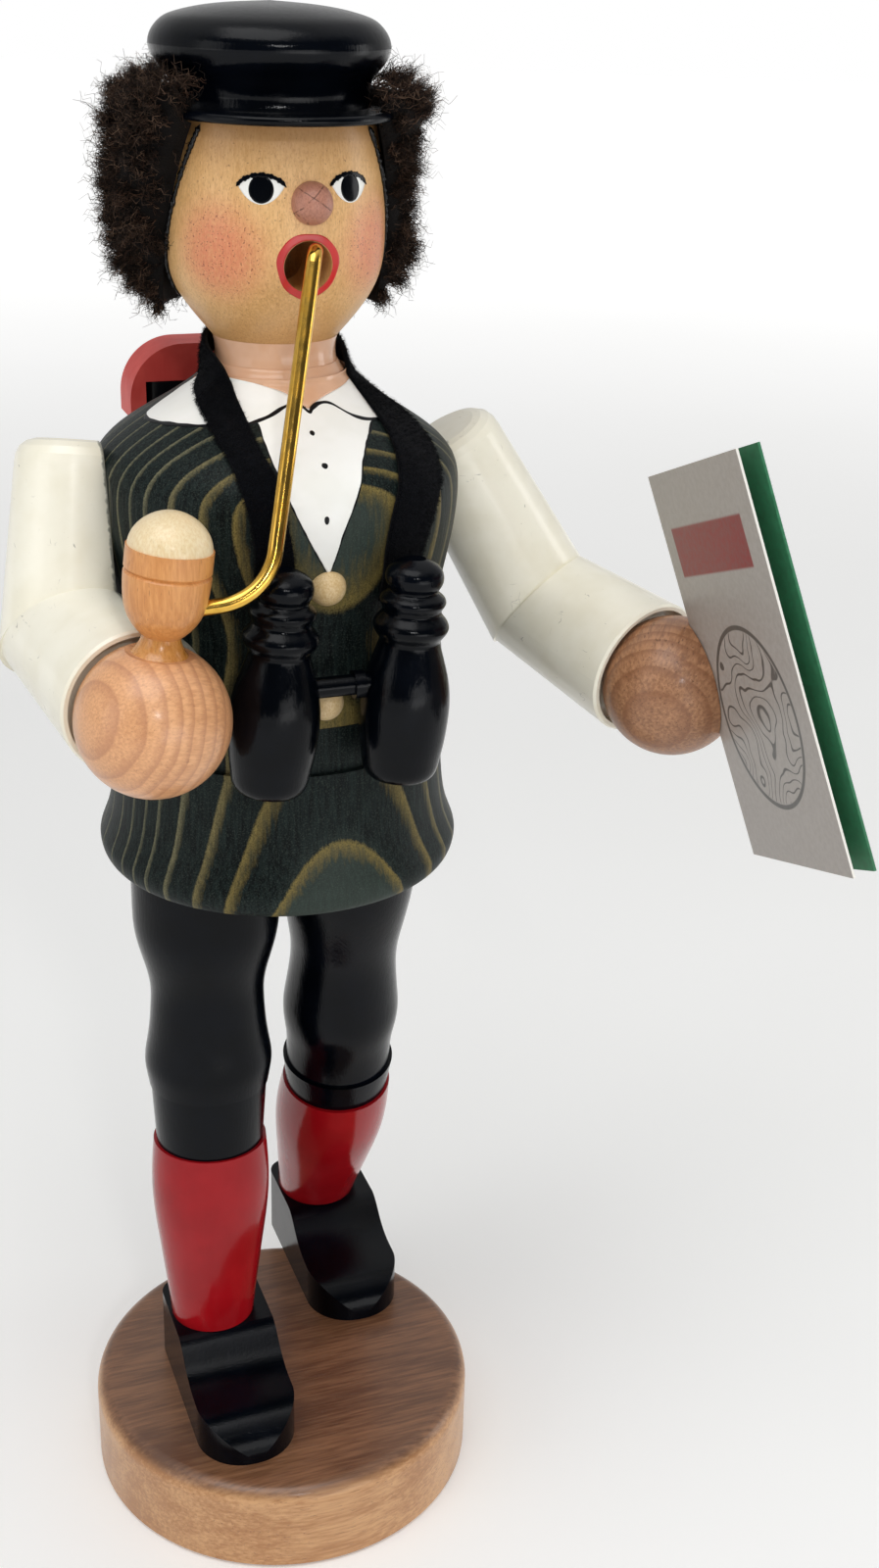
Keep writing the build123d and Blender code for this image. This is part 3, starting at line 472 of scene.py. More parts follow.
def vest_stain(name, azimuth, rings, reach=None):
    """Dark green-grey stain that the late wood of the growth rings shows through in olive; the spigot and the
    chamber stay bare. A reach gives the rings' distance at the front as a height, a start and a slope."""
    bare_radius = 31.0
    highest_rise = 29.0
    shader, place = new_finish(name, Specular_IOR_Level=0.09, Coat_Weight=0.02, Coat_Roughness=0.3)
    fibre, _, speckle = use(fibre_group, Place=place, Fineness=1.5, Length=16.0)
    way = polar(1.0, azimuth, 0.0)
    level = split(place)[2]
    outwards = stretched(place, (1, 1, 0))
    if reach is None:
        distance = along(place, way)
    else:
        reach_level, start, slope = reach
        rise = math_of("MINIMUM", level - reach_level, highest_rise)
        distance = along(vector_of("NORMALIZE", outwards), way) * (start - rise * slope)
    warp = (cloud(place, 0.03, 1.0) - 0.5) * 0.7
    ragged = (fibre - 0.5) * 0.35 + (speckle - 0.5) * 0.3
    distance = distance + warp + ragged
    band = strongest_ring(distance, fibre, rings)
    streaks = spread(fibre, 0.34, 0.7)
    dark = blend(streaks, (5, 10, 12), (26, 36, 35))
    dark = blend(spread(speckle, 0.50, 0.66) * 0.5, dark, (66, 76, 68))
    # Painted sheen: the foremost strip of the stain, facing the front lamps, is lightened towards a pale
    # blue-grey.
    dark = blend(spread(distance, 35.5, 37.8, 0.0, 0.32), dark, (84, 96, 88))
    olive = blend(spread(distance, 16.0, 34.0), (126, 124, 98), (134, 118, 68))
    stained = blend(band * spread(speckle, 0.3, 0.62, 0.4, 0.95), dark, olive)
    bare_wood = blend(streaks, (196, 150, 102), (222, 180, 130))
    from_axis = vector_of("LENGTH", outwards, output=1)
    bare = fall(from_axis, bare_radius, bare_radius + 0.4)
    bare = bare * spread(level, torso_bottom - 0.1, torso_bottom + 0.2)
    bare = bare * fall(level, chamber_top - 1.0, chamber_top)
    colour = blend(bare, stained, bare_wood)
    surface(shader, colour, spread(speckle, 0.3, 0.7, 0.36, 0.52), fibre + band * 0.5, 0.09)


side_rings = [(-4.0, 1.3), (-9.5, 1.2), (-15.0, 1.4), (-21.0, 1.2), (-27.0, 1.6), (-32.0, 1.4)]
torso_rings = [
    (35.4, 3.2), (32.4, 2.4), (28.3, 2.6), (23.2, 2.3), (18.2, 1.8), (14.4, 1.5), (10.4, 1.4), (6.0, 1.4),
    (1.2, 1.3)]
skirt_rings = [
    (36.35, 1.5), (31.2, 2.7), (26.3, 2.7), (20.4, 2.4), (15.6, 1.7), (11.9, 1.4), (7.6, 1.4), (2.6, 1.3)]
vest_stain("torso_stain", 3.0, torso_rings + side_rings)
vest_stain("skirt_stain", 4.5, skirt_rings + side_rings, reach=(skirt_bottom, 39.5, 0.2))


def plain_wood(name, light, dark, pore, fineness, length, pore_share, gloss, coat,
               pole=None, centre=(0, 0, 0), rings=(), ring_colour=None, depth=0.05):
    """Oiled or waxed wood: fibre tones, dark pores and, where given, growth rings round a pole."""
    shader, place = new_finish(name, Coat_Weight=coat, Coat_Roughness=0.18)
    seen = turned_place(place, centre, pole) if pole is not None else place
    fibre, pores, speckle = use(fibre_group, Place=seen, Fineness=fineness, Length=length)
    tone = fibre * 0.7 + cloud(seen, 0.07, 2.0) * 0.3
    colour = blend(spread(tone, 0.34, 0.66), dark, light)
    if rings:
        warp = (cloud(seen, 0.06, 2.0) - 0.5) * 2.6
        band = strongest_ring(split(seen)[2] + warp, speckle, rings)
        colour = blend(band * 0.75, colour, ring_colour)
    colour = blend(pores * pore_share, colour, pore)
    surface(shader, colour, spread(fibre, 0.3, 0.7, *gloss), fibre - pores, depth)
    return shader, place, colour


# Each wood's light, dark and pore colours, fineness and length of fibre, pores' share, gloss and coat
for wood in (
        ("bowl_wood", (226, 160, 94), (204, 134, 70), (146, 84, 42), 1.7, 9.0, 0.6, (0.3, 0.44), 0.3),
        ("foot_wood", (220, 158, 84), (196, 130, 58), (140, 84, 36), 1.7, 9.0, 0.4, (0.22, 0.34), 0.5),
        ("pale_dome", (246, 228, 190), (234, 208, 160), (190, 150, 100), 2.2, 4.0, 0.3, (0.3, 0.42), 0.3),
        ("button_beech", (232, 206, 158), (208, 172, 116), (150, 108, 64), 3.2, 1.5, 0.6, (0.36, 0.48), 0.2),
        ("dowel_beech", (222, 180, 132), (198, 152, 104), (140, 96, 60), 1.6, 12.0, 0.6, (0.34, 0.5), 0.2)):
    plain_wood(*wood)

hand_ring_width = 2.6
hand_ring_shares = (0.86, 0.66, 0.46, 0.29, 0.13, -0.06, -0.27, -0.48, -0.68, -0.88)
hand_rings = [(share * ball_radius, hand_ring_width) for share in hand_ring_shares]
plain_wood("near_hand_wood", (236, 178, 128), (210, 150, 104), (150, 96, 66), fineness=2.0, length=5.0,
           pore_share=0.45, gloss=(0.3, 0.42), coat=0.35, pole=(-0.89, -0.38, 0.25), centre=ball_right,
           rings=hand_rings, ring_colour=(188, 128, 90))
plain_wood("far_hand_wood", (186, 136, 98), (140, 96, 66), (78, 44, 26), fineness=1.5, length=6.0,
           pore_share=0.85, gloss=(0.36, 0.5), coat=0.2, pole=(-0.62, -0.74, -0.26), centre=ball_left,
           rings=hand_rings, ring_colour=(138, 90, 60), depth=0.08)


def maple_face():
    """Pale maple with upright flecks, rosy rubbed cheeks with dark pores, and painted shade: a deeper brown
    on the brow under the hat brim and on the jaw above the neck.
    """
    cheeks = ((-45.0, 305.0), (46.0, 305.5))
    shader, place, colour = plain_wood(
        "maple_head", (236, 190, 130), (216, 166, 104), (150, 100, 58), fineness=2.3, length=5.0,
        pore_share=0.5, gloss=(0.36, 0.48), coat=0.16)
    flecks = spread(cloud(stretched(place, (1.0, 1.0, 0.45)), 3.4, 2.0, 0.6), 0.52, 0.66)
    colour = blend(flecks * 0.42, colour, (180, 128, 76))
    wide_pores = spread(cloud(place, 1.9, 2.0, 0.5), 0.70, 0.735)
    colour = blend(wide_pores * 0.7, colour, (110, 66, 36))
    pores = spread(cloud(place, 2.3, 2.0, 0.6), 0.615, 0.67)
    grit = spread(cloud(place, 1.6, 4.0, 0.8), 0.25, 0.6, 0.5, 1.0)
    for azimuth, height in cheeks:
        near = fall(away(place, on_turning(head_profile, azimuth, height, 0.0)), 3.0, 13.0)
        colour = blend(near * grit * 0.68, colour, (214, 106, 80))
        colour = blend(spread(near, 0.1, 0.6) * pores * 0.85, colour, (120, 44, 30))
    level = split(place)[2]
    # Painted shade: the brow under the hat brim and the jaw over the neck are darkened towards a deep honey
    # brown.
    brim_and_jaw_shade = spread(level, 318.5, 328.5, 0.0, 0.75) + spread(level, 287.0, 297.0, 0.42, 0.0)
    feed(blend(brim_and_jaw_shade, colour, (176, 126, 74)), shader.inputs["Base Color"])


def marked_nose():
    """A rosy half bead with three fine marks, each a slant and the distance along it."""
    marks = (((0.62, 0.1, 0.78), 240.4), ((-0.66, 0.1, 0.75), 234.2), ((0.55, 0.0, 0.83), 262.6))
    shader, place, colour = plain_wood(
        "nose_stain", (188, 130, 108), (158, 104, 84), (104, 58, 44), fineness=3.0, length=1.6,
        pore_share=0.6, gloss=(0.4, 0.52), coat=0.15)
    for slant, distance in marks:
        bent = along(place, slant) - distance + cloud(place, 0.5) * 0.5
        mark = spread(math_of("ABSOLUTE", bent), 0.05, 0.16, 0.9, 0.0)
        colour = blend(mark * spread(cloud(place, 0.9), 0.35, 0.6), colour, (96, 56, 42))
    feed(colour, shader.inputs["Base Color"])


def beech_disc():
    """The base: steamed beech, its top darker, with lens-shaped ray flecks drawn out along the boards."""
    shader, place = new_finish("base_beech", Coat_Weight=0.3, Coat_Roughness=0.2)
    x, y, z = split(place)
    fibre, pores, _ = use(fibre_group, Place=join(y, z, x), Fineness=1.3, Length=15.0)
    wide = cloud(stretched(place, (0.012, 0.10, 0.10)), 1.0)
    tone = spread(fibre * 0.5 + wide * 0.5, 0.38, 0.64)
    side = blend(tone, (172, 120, 74), (208, 160, 112))
    face = blend(tone, (96, 62, 40), (140, 98, 68))
    colour = blend(spread(z, 20.4, 22.9), side, face)
    colour = blend(pores * 0.62, colour, (104, 62, 36))
    surface(shader, colour, spread(fibre, 0.3, 0.7, 0.34, 0.46), fibre - pores, 0.05)


maple_face()
marked_nose()
beech_disc()


# Metal
def polished(name, colour, second, gloss, stretch=(1.0, 1.0, 1.0), scale=0.6):
    """Drawn or stamped metal: cloudy tarnish and fine draw lines in the gloss."""
    shader, place = new_finish(name, Metallic=1.0)
    tarnish = cloud(place, 0.25, 4.0)
    tone = blend(spread(tarnish, 0.4, 0.7), colour, second)
    surface(shader, tone, spread(tarnish, 0.3, 0.7, gloss, gloss + 0.14),
            cloud(stretched(place, stretch), scale), 0.01)


polished("stem_brass", (228, 182, 84), (206, 156, 60), gloss=0.13, stretch=(2.0, 2.0, 0.1), scale=0.3)
polished("tin_plate", (190, 188, 182), (150, 146, 138), gloss=0.28)
polished("nail_steel", (160, 160, 165), (110, 108, 106), gloss=0.32)


# Fibres
def mohair(name, dark, light):
    """Brown mohair: every strand carries a tone, and locks differ by a cloudy noise."""
    shader, place = new_finish(
        name, Roughness=0.7, Sheen_Weight=0.05, Sheen_Roughness=0.4, Sheen_Tint=chip((150, 120, 96)),
        Specular_IOR_Level=0.15)
    lock = cloud(place, 0.5, 4.0, 0.65)
    hair = cloud(place, 3.0, 3.0, 0.65)
    strand = Signal(add(place.tree, "ShaderNodeAttribute", {"attribute_name": "tone"}).outputs["Fac"])
    tone = lock * 0.35 + hair * 0.25 + strand * 0.4
    feed(blend(spread(tone, 0.3, 0.72), dark, light), shader.inputs["Base Color"])
    relief(shader, hair, 0.3)


def felt():
    """Black ribbon: a matt nap with a faint blue-grey bloom."""
    shader, place = new_finish(
        "black_ribbon", Roughness=0.9, Sheen_Weight=0.03, Sheen_Roughness=0.5, Specular_IOR_Level=0.06)
    nap = cloud(place, 2.6, 4.0, 0.75)
    feed(blend(spread(nap, 0.35, 0.7), (2, 3, 6), (13, 15, 21)), shader.inputs["Base Color"])
    relief(shader, nap, 0.25)


# Painted shade: the cores are the brown mohair made darker, for the shade deep inside the packed tufts.
mohair("shaded_core_mohair", (5, 3, 3), (30, 20, 15))
mohair("brown_mohair", (5, 3, 3), (88, 64, 50))
# Painted light: the strays are the brown mohair made paler, for light through their thin tips and their
# sheen.
mohair("lit_stray_mohair", (24, 16, 12), (132, 106, 88))
felt()

# Which finish each solid takes
worn_by = {
    "black_lacquer": ("shoe_right", "shoe_left", "knee_cuff_right", "knee_cuff_left", "breeches_right",
                      "breeches_left", "hat_visor", "hat_crown", "binocular_right", "binocular_left",
                      "binocular_bridge"),
    "red_lacquer": ("stocking_right", "stocking_left"),
    "ivory_lacquer": ("upper_arm_right", "upper_arm_left", "forearm_right", "forearm_left"),
    "torso_stain": ("vest_torso",),
    "skirt_stain": ("coat_skirt",),
    "flesh_paint": ("neck_sleeve",),
    "maple_head": ("head",),
    "nose_stain": ("nose",),
    "near_hand_wood": ("hand_right",),
    "far_hand_wood": ("hand_left",),
    "bowl_wood": ("pipe_bowl",),
    "foot_wood": ("pipe_foot",),
    "pale_dome": ("pipe_dome",),
    "button_beech": ("vest_buttons",),
    "dowel_beech": ("leg_dowels", "arm_dowels", "hat_dowel"),
    "stem_brass": ("pipe_stem",),
    "tin_plate": ("incense_plate",),
    "nail_steel": ("plate_nails",),
    "base_beech": ("base_disc",),
    "pack_red": ("rucksack_lid",),
    "pack_black": ("rucksack_body", "rucksack_pockets"),
}
for finish, names in worn_by.items():
    for name in names:
        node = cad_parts[name]
        node.data.materials.clear()
        node.data.materials.append(finishes[finish])


def make_visor():
    """The visor: a thin disc with a rounded rim, joined to a smaller disc under the crown."""
    seat = np.array((-0.5, 0.0))
    turn = np.radians(head_turn)
    front = seat + 7.5 * np.array((np.sin(turn), -np.cos(turn)))
    columns, inner_rows = 180, 26
    angle = np.linspace(0, 2 * np.pi, columns, endpoint=False)
    bend = np.linspace(-np.pi / 2, np.pi / 2, 13)[1:-1]
    half = visor_thickness / 2
    ring = np.arange(columns)[None]
    shells = []
    faces = []
    for centre, reach in ((front, 21.3), (seat, 19.4)):
        inner = np.linspace(0.3, reach - half, inner_rows)
        radius = np.concatenate((inner, reach - half + half * np.cos(bend), inner[::-1]))[:, None]
        level = np.concatenate((np.full(inner_rows, -half), half * np.sin(bend), np.full(inner_rows, half)))
        level = head_top + half + level[:, None] + 0 * angle
        ways = (centre[0] + radius * np.cos(angle), centre[1] + radius * np.sin(angle), level)
        points = np.stack(ways, axis=-1)
        start = len(shells) * points.size // 3
        rows = len(radius)
        faces += [grid_faces(rows, columns, True) + start, ring[:, ::-1] + start,
                  ring + (rows - 1) * columns + start]
        shells.append(points.reshape(-1, 3))
    visor = make_piece("lacquered_visor", np.concatenate(shells), faces, "black_lacquer")
    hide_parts("hat_visor")


make_visor()

# Painted shirt, collar and neck, laid as thin skins over the turned torso; points are azimuth and height
collar_line = [
    (-104, 275.6), (-101, 272.8), (-96, 271.0), (-88, 270.7), (-70, 271.3), (-51, 272.1), (-35, 272.6),
    (-21.4, 274.0), (-12, 275.5), (-4.9, 276.2), (0, 275.7), (3.3, 274.8), (6, 275.4), (12, 276.0),
    (19.6, 275.7), (28.3, 273.4), (37.5, 272.4), (52, 271.8), (66, 272.2), (74, 273.6), (78, 275.6)]
neck_line = [
    (-104, 275.8), (-100, 277.4), (-92, 278.9), (-79.5, 279.6), (-60, 279.8), (-40.3, 279.5), (-25, 278.9),
    (-10, 277.9), (-3, 276.7), (3.4, 275.3), (9, 276.1), (18, 276.9), (29.8, 277.5), (45, 278.0),
    (57.6, 278.3), (70, 277.8), (78, 275.8)]
shirt_edge = [
    (-25.0, 273.4), (-20.0, 270.3), (-15.9, 266.7), (-13.2, 263.6), (-10.9, 260.3), (-7.4, 255.4),
    (-3.8, 250.8), (-0.6, 247.2), (0.4, 247.2), (2.2, 250.8), (4.2, 255.2), (8.0, 260.6), (12.2, 264.6),
    (16.0, 267.3), (24.0, 270.0), (36.3, 272.3)]
paint_wall = 0.12
stroke_lift = 0.11
circle = [(np.cos(a), np.sin(a)) for a in np.linspace(0, 2 * np.pi, 12, endpoint=False)]


def skin_between(name, low, high, finish, lift, rows, columns=520, samples=600):
    """A painted skin: each column runs straight up from the low line to the high line over one azimuth."""
    low = curve(low, samples)
    high = curve(high, samples)
    azimuth = np.linspace(max(low[0, 0], high[0, 0]), min(low[-1, 0], high[-1, 0]), columns)
    bottom = np.interp(azimuth, *low.T)
    top = np.maximum(np.interp(azimuth, *high.T), bottom + 0.02)
    height = bottom + (top - bottom) * np.linspace(0, 1, rows)[:, None]
    points = on_turning(torso_profile, azimuth + 0 * height, height, lift)
    thicken(make_piece(name, points, [grid_faces(rows, columns)], finish), paint_wall)


def ink_line(name, path, width, lift, profile, finish="ink_paint", count=320):
    """A hand-drawn stroke over a turned surface; its width swells and thins a little along its path."""
    path = curve(path, count)
    radius = np.interp(path[:, 1], *profile)
    flat = np.stack((np.radians(path[:, 0]) * radius, path[:, 1]), axis=-1)
    way = unit(np.gradient(flat, axis=0))
    across = np.stack((-way[:, 1], way[:, 0]), axis=-1)
    run = np.linspace(0, 1, count)
    swell = 1 + 0.22 * np.sin(run * 37 + 1.0) + 0.16 * np.sin(run * 83)
    taper = np.clip(np.minimum(run, 1 - run) * 22, 0.25, 1)
    half = (width / 2 * swell * taper)[:, None]
    steps = np.linspace(-1, 1, 5)[:, None, None]
    rows = flat + across * half * steps
    points = on_turning(profile, np.degrees(rows[..., 0] / radius), rows[..., 1], lift)
    thicken(make_piece(name, points, [grid_faces(len(steps), count)], finish), paint_wall)


def shape_on(name, azimuth, height, outline, finish, profile, lift):
    """A filled painted shape: a fan of rings shrinks an outline of (across, up) points to its middle."""
    outline = curve(outline, 96, closed=True)[:-1]
    shares = np.linspace(1, 0.02, 9)[:, None, None]
    middle = outline.mean(axis=0)
    flat = middle + (outline - middle) * shares
    azimuths = azimuth + np.degrees(flat[..., 0] / np.interp(height, *profile))
    points = on_turning(profile, azimuths, height + flat[..., 1], lift + 0.03 * (1 - shares[..., 0]))
    rows, columns = flat.shape[:2]
    cap = np.arange((rows - 1) * columns, rows * columns)[None]
    thicken(make_piece(name, points, [grid_faces(rows, columns, True), cap], finish), 0.1)


left_part = [point for point in collar_line if point[0] < -24]
right_part = [point for point in collar_line if point[0] > 38]
skin_between("shirt_and_collar", left_part + shirt_edge + right_part, neck_line, "shirt_paint", lift=0.05,
             rows=34)
neck_round = [(-180, 278.2), (-140, 278.6), (-112, 278.4)] + neck_line[1:-1]
neck_round += [(90, 278.2), (130, 278.6), (180, 278.2)]
skin_between("neck_paint_on_torso", neck_round, [(-180, torso_top), (180, torso_top)], "flesh_paint",
             lift=0.02, rows=8)


def cover_neck_joint():
    """Paint run over the joint of neck and torso, as a closed collar from the torso's top up the neck."""
    azimuth = np.linspace(-180, 180, 181)[:-1]
    height = np.linspace(279.7, 281.7, 14)[:, None]
    fillet = np.interp(height, (279.7, 280.0, 280.3, 280.7, 281.2, 281.7),
                       (14.06, 13.74, 13.5, 13.25, 13.0, 12.6))
    radius = np.maximum(fillet, np.interp(height, *neck_profile) + 0.03)
    faces = grid_faces(len(height), len(azimuth), True)
    thicken(make_piece("neck_joint_paint", polar(radius, azimuth, height), [faces], "flesh_paint"), 0.06)


cover_neck_joint()
ink_line("collar_stroke", collar_line[2:-3], 0.5, stroke_lift, torso_profile)
ink_line("shirt_stroke_right", shirt_edge[:8], 0.26, stroke_lift, torso_profile)
ink_line("shirt_stroke_left", shirt_edge[8:], 0.26, stroke_lift, torso_profile)
for order, (azimuth, height, wide, tall) in enumerate((
        (0.6, 271.8, 0.5, 0.36), (1.0, 267.1, 0.62, 0.42), (-1.1, 257.9, 0.48, 0.8))):
    dot = [(wide * x * (1 + 0.15 * y), tall * y) for x, y in circle]
    shape_on("shirt_dot_%d" % (order + 1), azimuth, height, dot, "ink_paint", torso_profile, 0.12)


# Painted eyes and lips on the head
def paint_eye(side, azimuth, height, lean):
    """White almond, black iris and a heavy upper line with flicked ends; lean tips the line's ends."""
    x = np.linspace(-1, 1, 13)
    half_width, middle = 4.35, 0.55
    upper = [(half_width * u, middle + 1.75 * (1 - u * u) ** 0.8 + lean * u) for u in x]
    lower = [(half_width * u, middle - 3.35 * (1 - u * u) ** 0.85 + lean * u) for u in x[-2:0:-1]]
    shape_on("eye_white_" + side, azimuth, height, upper + lower, "shirt_paint", head_profile, 0.05)
    iris = [(2.36 * a, -0.1 + 2.5 * b) for a, b in circle]
    shape_on("eye_iris_" + side, azimuth, height, iris, "iris_paint", head_profile, stroke_lift)
    reach = np.degrees(4.7 / np.interp(height, *head_profile))
    lash = [(azimuth + reach * u, height + 0.35 + 2.15 * (1 - u * u) ** 0.75 + lean * u) for u in x]
    ink_line("eye_line_" + side, lash, 0.78, 0.16, head_profile, "iris_paint")


def paint_lips():
    """A red ring round the mouth bore; its outer edge wavers and its inner edge turns into the bore."""
    angle = np.linspace(0, 2 * np.pi, 144, endpoint=False)
    outer_radius = 6.25 + 0.14 * np.sin(3 * angle + 0.4) + 0.08 * np.sin(7 * angle)
    radii = mouth_radius + (outer_radius - mouth_radius) * np.linspace(0, 1, 7)[:, None]
    azimuths = head_turn + np.degrees(radii * np.cos(angle) / (head_radius * 0.985))
    points = on_turning(head_profile, azimuths, mouth_level + radii * np.sin(angle), 0.05)
    points = np.concatenate((points[:1] + np.array((0, 0.8, 0)), points))
    faces = grid_faces(len(points), len(angle), True)
    thicken(make_piece("painted_lips", points, [faces], "lip_paint"), 0.08)


paint_eye("right", -22.0, 316.9, 0.0)
paint_eye("left", 26.2, 316.9, -0.1)
paint_lips()


# Hair: lumpy cores under thousands of crimped strands
def strands(name, roots, ways, lengths, swing, thickness, finish, body, steps, waves):
    """Crimped hairs: each centre line leaves its root along its way and swings round it by two sines that
    grow with the length; a three-sided tube that thins to its tip runs along it."""
    count = len(roots)
    t = np.linspace(0, 1, steps + 1)[None, :, None]
    helper = unit(rng.normal(size=(count, 3)))
    side = unit(np.cross(ways, helper))[:, None]
    other = np.cross(ways, side[:, 0])[:, None]
    phase = rng.uniform(0, 2 * np.pi, (count, 1, 1))
    rate = rng.uniform(0.6, 1.4, (count, 1, 1)) * waves * 2 * np.pi
    reach = (swing * rng.uniform(0.5, 1.5, count))[:, None, None] * t ** 0.8
    centre = roots[:, None] + ways[:, None] * lengths[:, None, None] * t
    centre = centre + reach * (side * np.cos(rate * t + phase) + other * np.sin(rate * t + phase))
    centre -= reach * (side * np.cos(phase) + other * np.sin(phase)) * 0.6
    around = np.radians((0, 120, 240))[None, None, :, None]
    rim = side[:, :, None] * np.cos(around) + other[:, :, None] * np.sin(around)
    points = centre[:, :, None] + rim * (thickness * (1 - 0.6 * t))[..., None]
    base = (np.arange(count) * (steps + 1) * 3)[:, None]
    walls = (base[:, None] + grid_faces(steps + 1, 3, True)[None]).reshape(-1, 4)
    caps = np.concatenate((base + np.array((2, 1, 0)), base + steps * 3 + np.array((0, 1, 2))))
    piece = make_piece(name, points, [walls, caps], finish, body)
    tone = piece.data.attributes.new("tone", "FLOAT", "POINT")
    tone.data.foreach_set("value", np.repeat(rng.beta(0.6, 1.4, count), (steps + 1) * 3))
    return piece


# Tufts' outer radius, as shares of their reach over shares of their height
full_tuft = ((0.0, 0.02), (0.05, 0.30), (0.11, 0.66), (0.24, 0.98), (0.42, 1.08), (0.60, 1.06), (0.74, 0.98),
             (0.86, 0.94), (0.94, 0.80), (1.0, 0.06))
thin_tuft = ((0.02, 0.02), (0.05, 0.48), (0.10, 0.98), (0.18, 1.16), (0.28, 1.04), (0.40, 0.80), (0.55, 0.64),
             (0.68, 0.62), (0.78, 0.74), (0.86, 0.98), (0.94, 0.86), (1.0, 0.06))
back_tuft = ((0.0, 0.02), (0.05, 0.36), (0.12, 0.72), (0.26, 0.98), (0.45, 1.04), (0.62, 0.98), (0.76, 0.86),
             (0.87, 0.68), (0.94, 0.46), (1.0, 0.06))
hair_foot = head_bottom + 5.0
hair_height = 44.0
hair_seat = head_radius + 0.3
right_front, left_front = 57.0, 42.0
lead_count = 230


def lumps(turn, height, seed):
    """A smooth uneven field from -1 to 1 over azimuth and height."""
    pace = np.random.default_rng(seed)
    total = 0
    for size in (1.0, 0.7, 0.45, 0.3):
        a, b = pace.uniform(0.08, 0.16, 2) / size
        p, q = pace.uniform(0, 6.28, 2)
        bent = np.sin(turn * a + 1.3 * np.sin(height * b * 1.7 + p))
        total = total + size * bent * np.sin(height * b * 2.2 + q)
    return total / 1.6


def tuft_radius(turn, height, radius, shares, front_start, seed):
    """Outer radius of a tuft: its profile over height, fading in from its front edge, with lumps."""
    swell = np.interp((height - hair_foot) / hair_height, *np.transpose(shares))
    grow = np.clip((turn - front_start) / 16.0, 0.0, 1.0) ** 0.5
    return hair_seat + (radius - hair_seat) * swell * grow * (1 + 0.12 * lumps(turn, height, seed))


def temple_turn(height, front):
    """Where the glued front edge of a tuft lies at a height: on a plane that leans back to the jaw."""
    reach = head_radius * np.cos(np.radians(front)) - 0.455 * (330.2 - height)
    return np.degrees(np.arccos(np.clip(reach / head_radius, -1, 1)))


def make_tuft(name, node, side, front, end, radius, shares, seed, count):
    """One tuft: a closed core sheet outside the head, and strands that leave it outwards and gather towards
    leading tips. Without a front edge it runs round the back of the head, as far on both sides."""
    def first_turn(height):
        return temple_turn(height, front) if front is not None else 360 - end + 0 * height

    rows, columns = 70, 110
    core_reach = hair_seat + (radius - hair_seat) * 0.78
    height = hair_foot + hair_height * np.linspace(0, 0.93, rows)[:, None]
    start = first_turn(height)
    turn = start + (end - start) * np.linspace(0, 1, columns)[None]
    height = height + 0 * turn
    inner = np.where(height > head_top - 0.5, hair_seat + 1.6, hair_seat - 0.1)
    outer = np.maximum(tuft_radius(turn, height, core_reach, shares, start, seed), inner + 0.05)
    loop, loop_turn, loop_height = [np.concatenate((face, back[:, ::-1]), axis=1) for face, back in (
        (outer, inner), (turn, turn), (height, height))]
    points = polar(loop, side * loop_turn + head_turn, loop_height)
    # The core takes the darkened mohair, its colour a painted shade.
    make_piece(name + "_core", points, shell_faces(rows, columns, side < 0), "shaded_core_mohair")
    row_share = rng.uniform(0.0, 1.0, count) ** 0.9
    root_height = hair_foot + hair_height * row_share
    root_start = first_turn(root_height)
    root_turn = root_start + (end - root_start) * rng.uniform(0.0, 1.0, count)
    root_radius = tuft_radius(root_turn, root_height, core_reach, shares, root_start, seed) - 0.5
    root_azimuth = side * root_turn + head_turn
    roots = polar(np.maximum(root_radius, hair_seat + 0.2), root_azimuth, root_height)
    out = polar(1.0, root_azimuth, 0.0)
    tangent = np.cross((0, 0, 1), out)
    drift = rng.normal(size=(count, 3)) * 0.55
    lock = lumps(root_turn * 2.3, root_height * 2.1, seed + 5)[:, None]
    upwards = np.array((0, 0, 1))
    rise = ((row_share - 0.45) * 1.3)[:, None] * upwards
    ways = unit(out * 0.75 + drift + rise + tangent * lock * 0.8 + (lock * 0.5 - 0.1) * upwards)
    lengths = rng.uniform(2.0, 4.4, count) * (1 + 0.25 * lock[:, 0])
    leads = rng.integers(0, count, lead_count)
    own = leads[np.linalg.norm(roots[:, None] - roots[leads][None], axis=2).argmin(axis=1)]
    tips = roots[own] + ways[own] * (lengths[own] * 1.3)[:, None] + rng.normal(size=(count, 3)) * 0.45
    gather = rng.uniform(0.35, 1.0, count)[:, None]
    ways = unit(ways * (1 - gather) + unit(tips - roots) * gather)
    pull = gather[:, 0] * 0.4
    lengths = lengths * (1 - pull) + np.linalg.norm(tips - roots, axis=1) * pull
    coat = strands(name, roots, ways, lengths, swing=0.7, thickness=0.105, finish="brown_mohair",
                   body="upper", steps=5, waves=2.6)
    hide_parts(node)
    loose = rng.integers(0, count, count // 2)
    stray = unit(ways[loose] + rng.normal(size=(len(loose), 3)) * 0.35)
    stray_lengths = lengths[loose] * rng.uniform(1.0, 1.75, len(loose))
    # Strays take the paled mohair, its colour painted light.
    strands(name + "_strays", roots[loose], stray, stray_lengths, swing=0.9, thickness=0.09,
            finish="lit_stray_mohair", body="upper", steps=7, waves=3.4)


make_tuft("mohair_right", "hair_right", -1, right_front, end=150.0, radius=33.0, shares=full_tuft, seed=11,
          count=5800)
make_tuft("mohair_left", "hair_left", 1, left_front, end=150.0, radius=31.0, shares=thin_tuft, seed=23,
          count=5800)
make_tuft("mohair_back", "hair_back", 1, None, end=210.0, radius=33.0, shares=back_tuft, seed=37, count=5000)


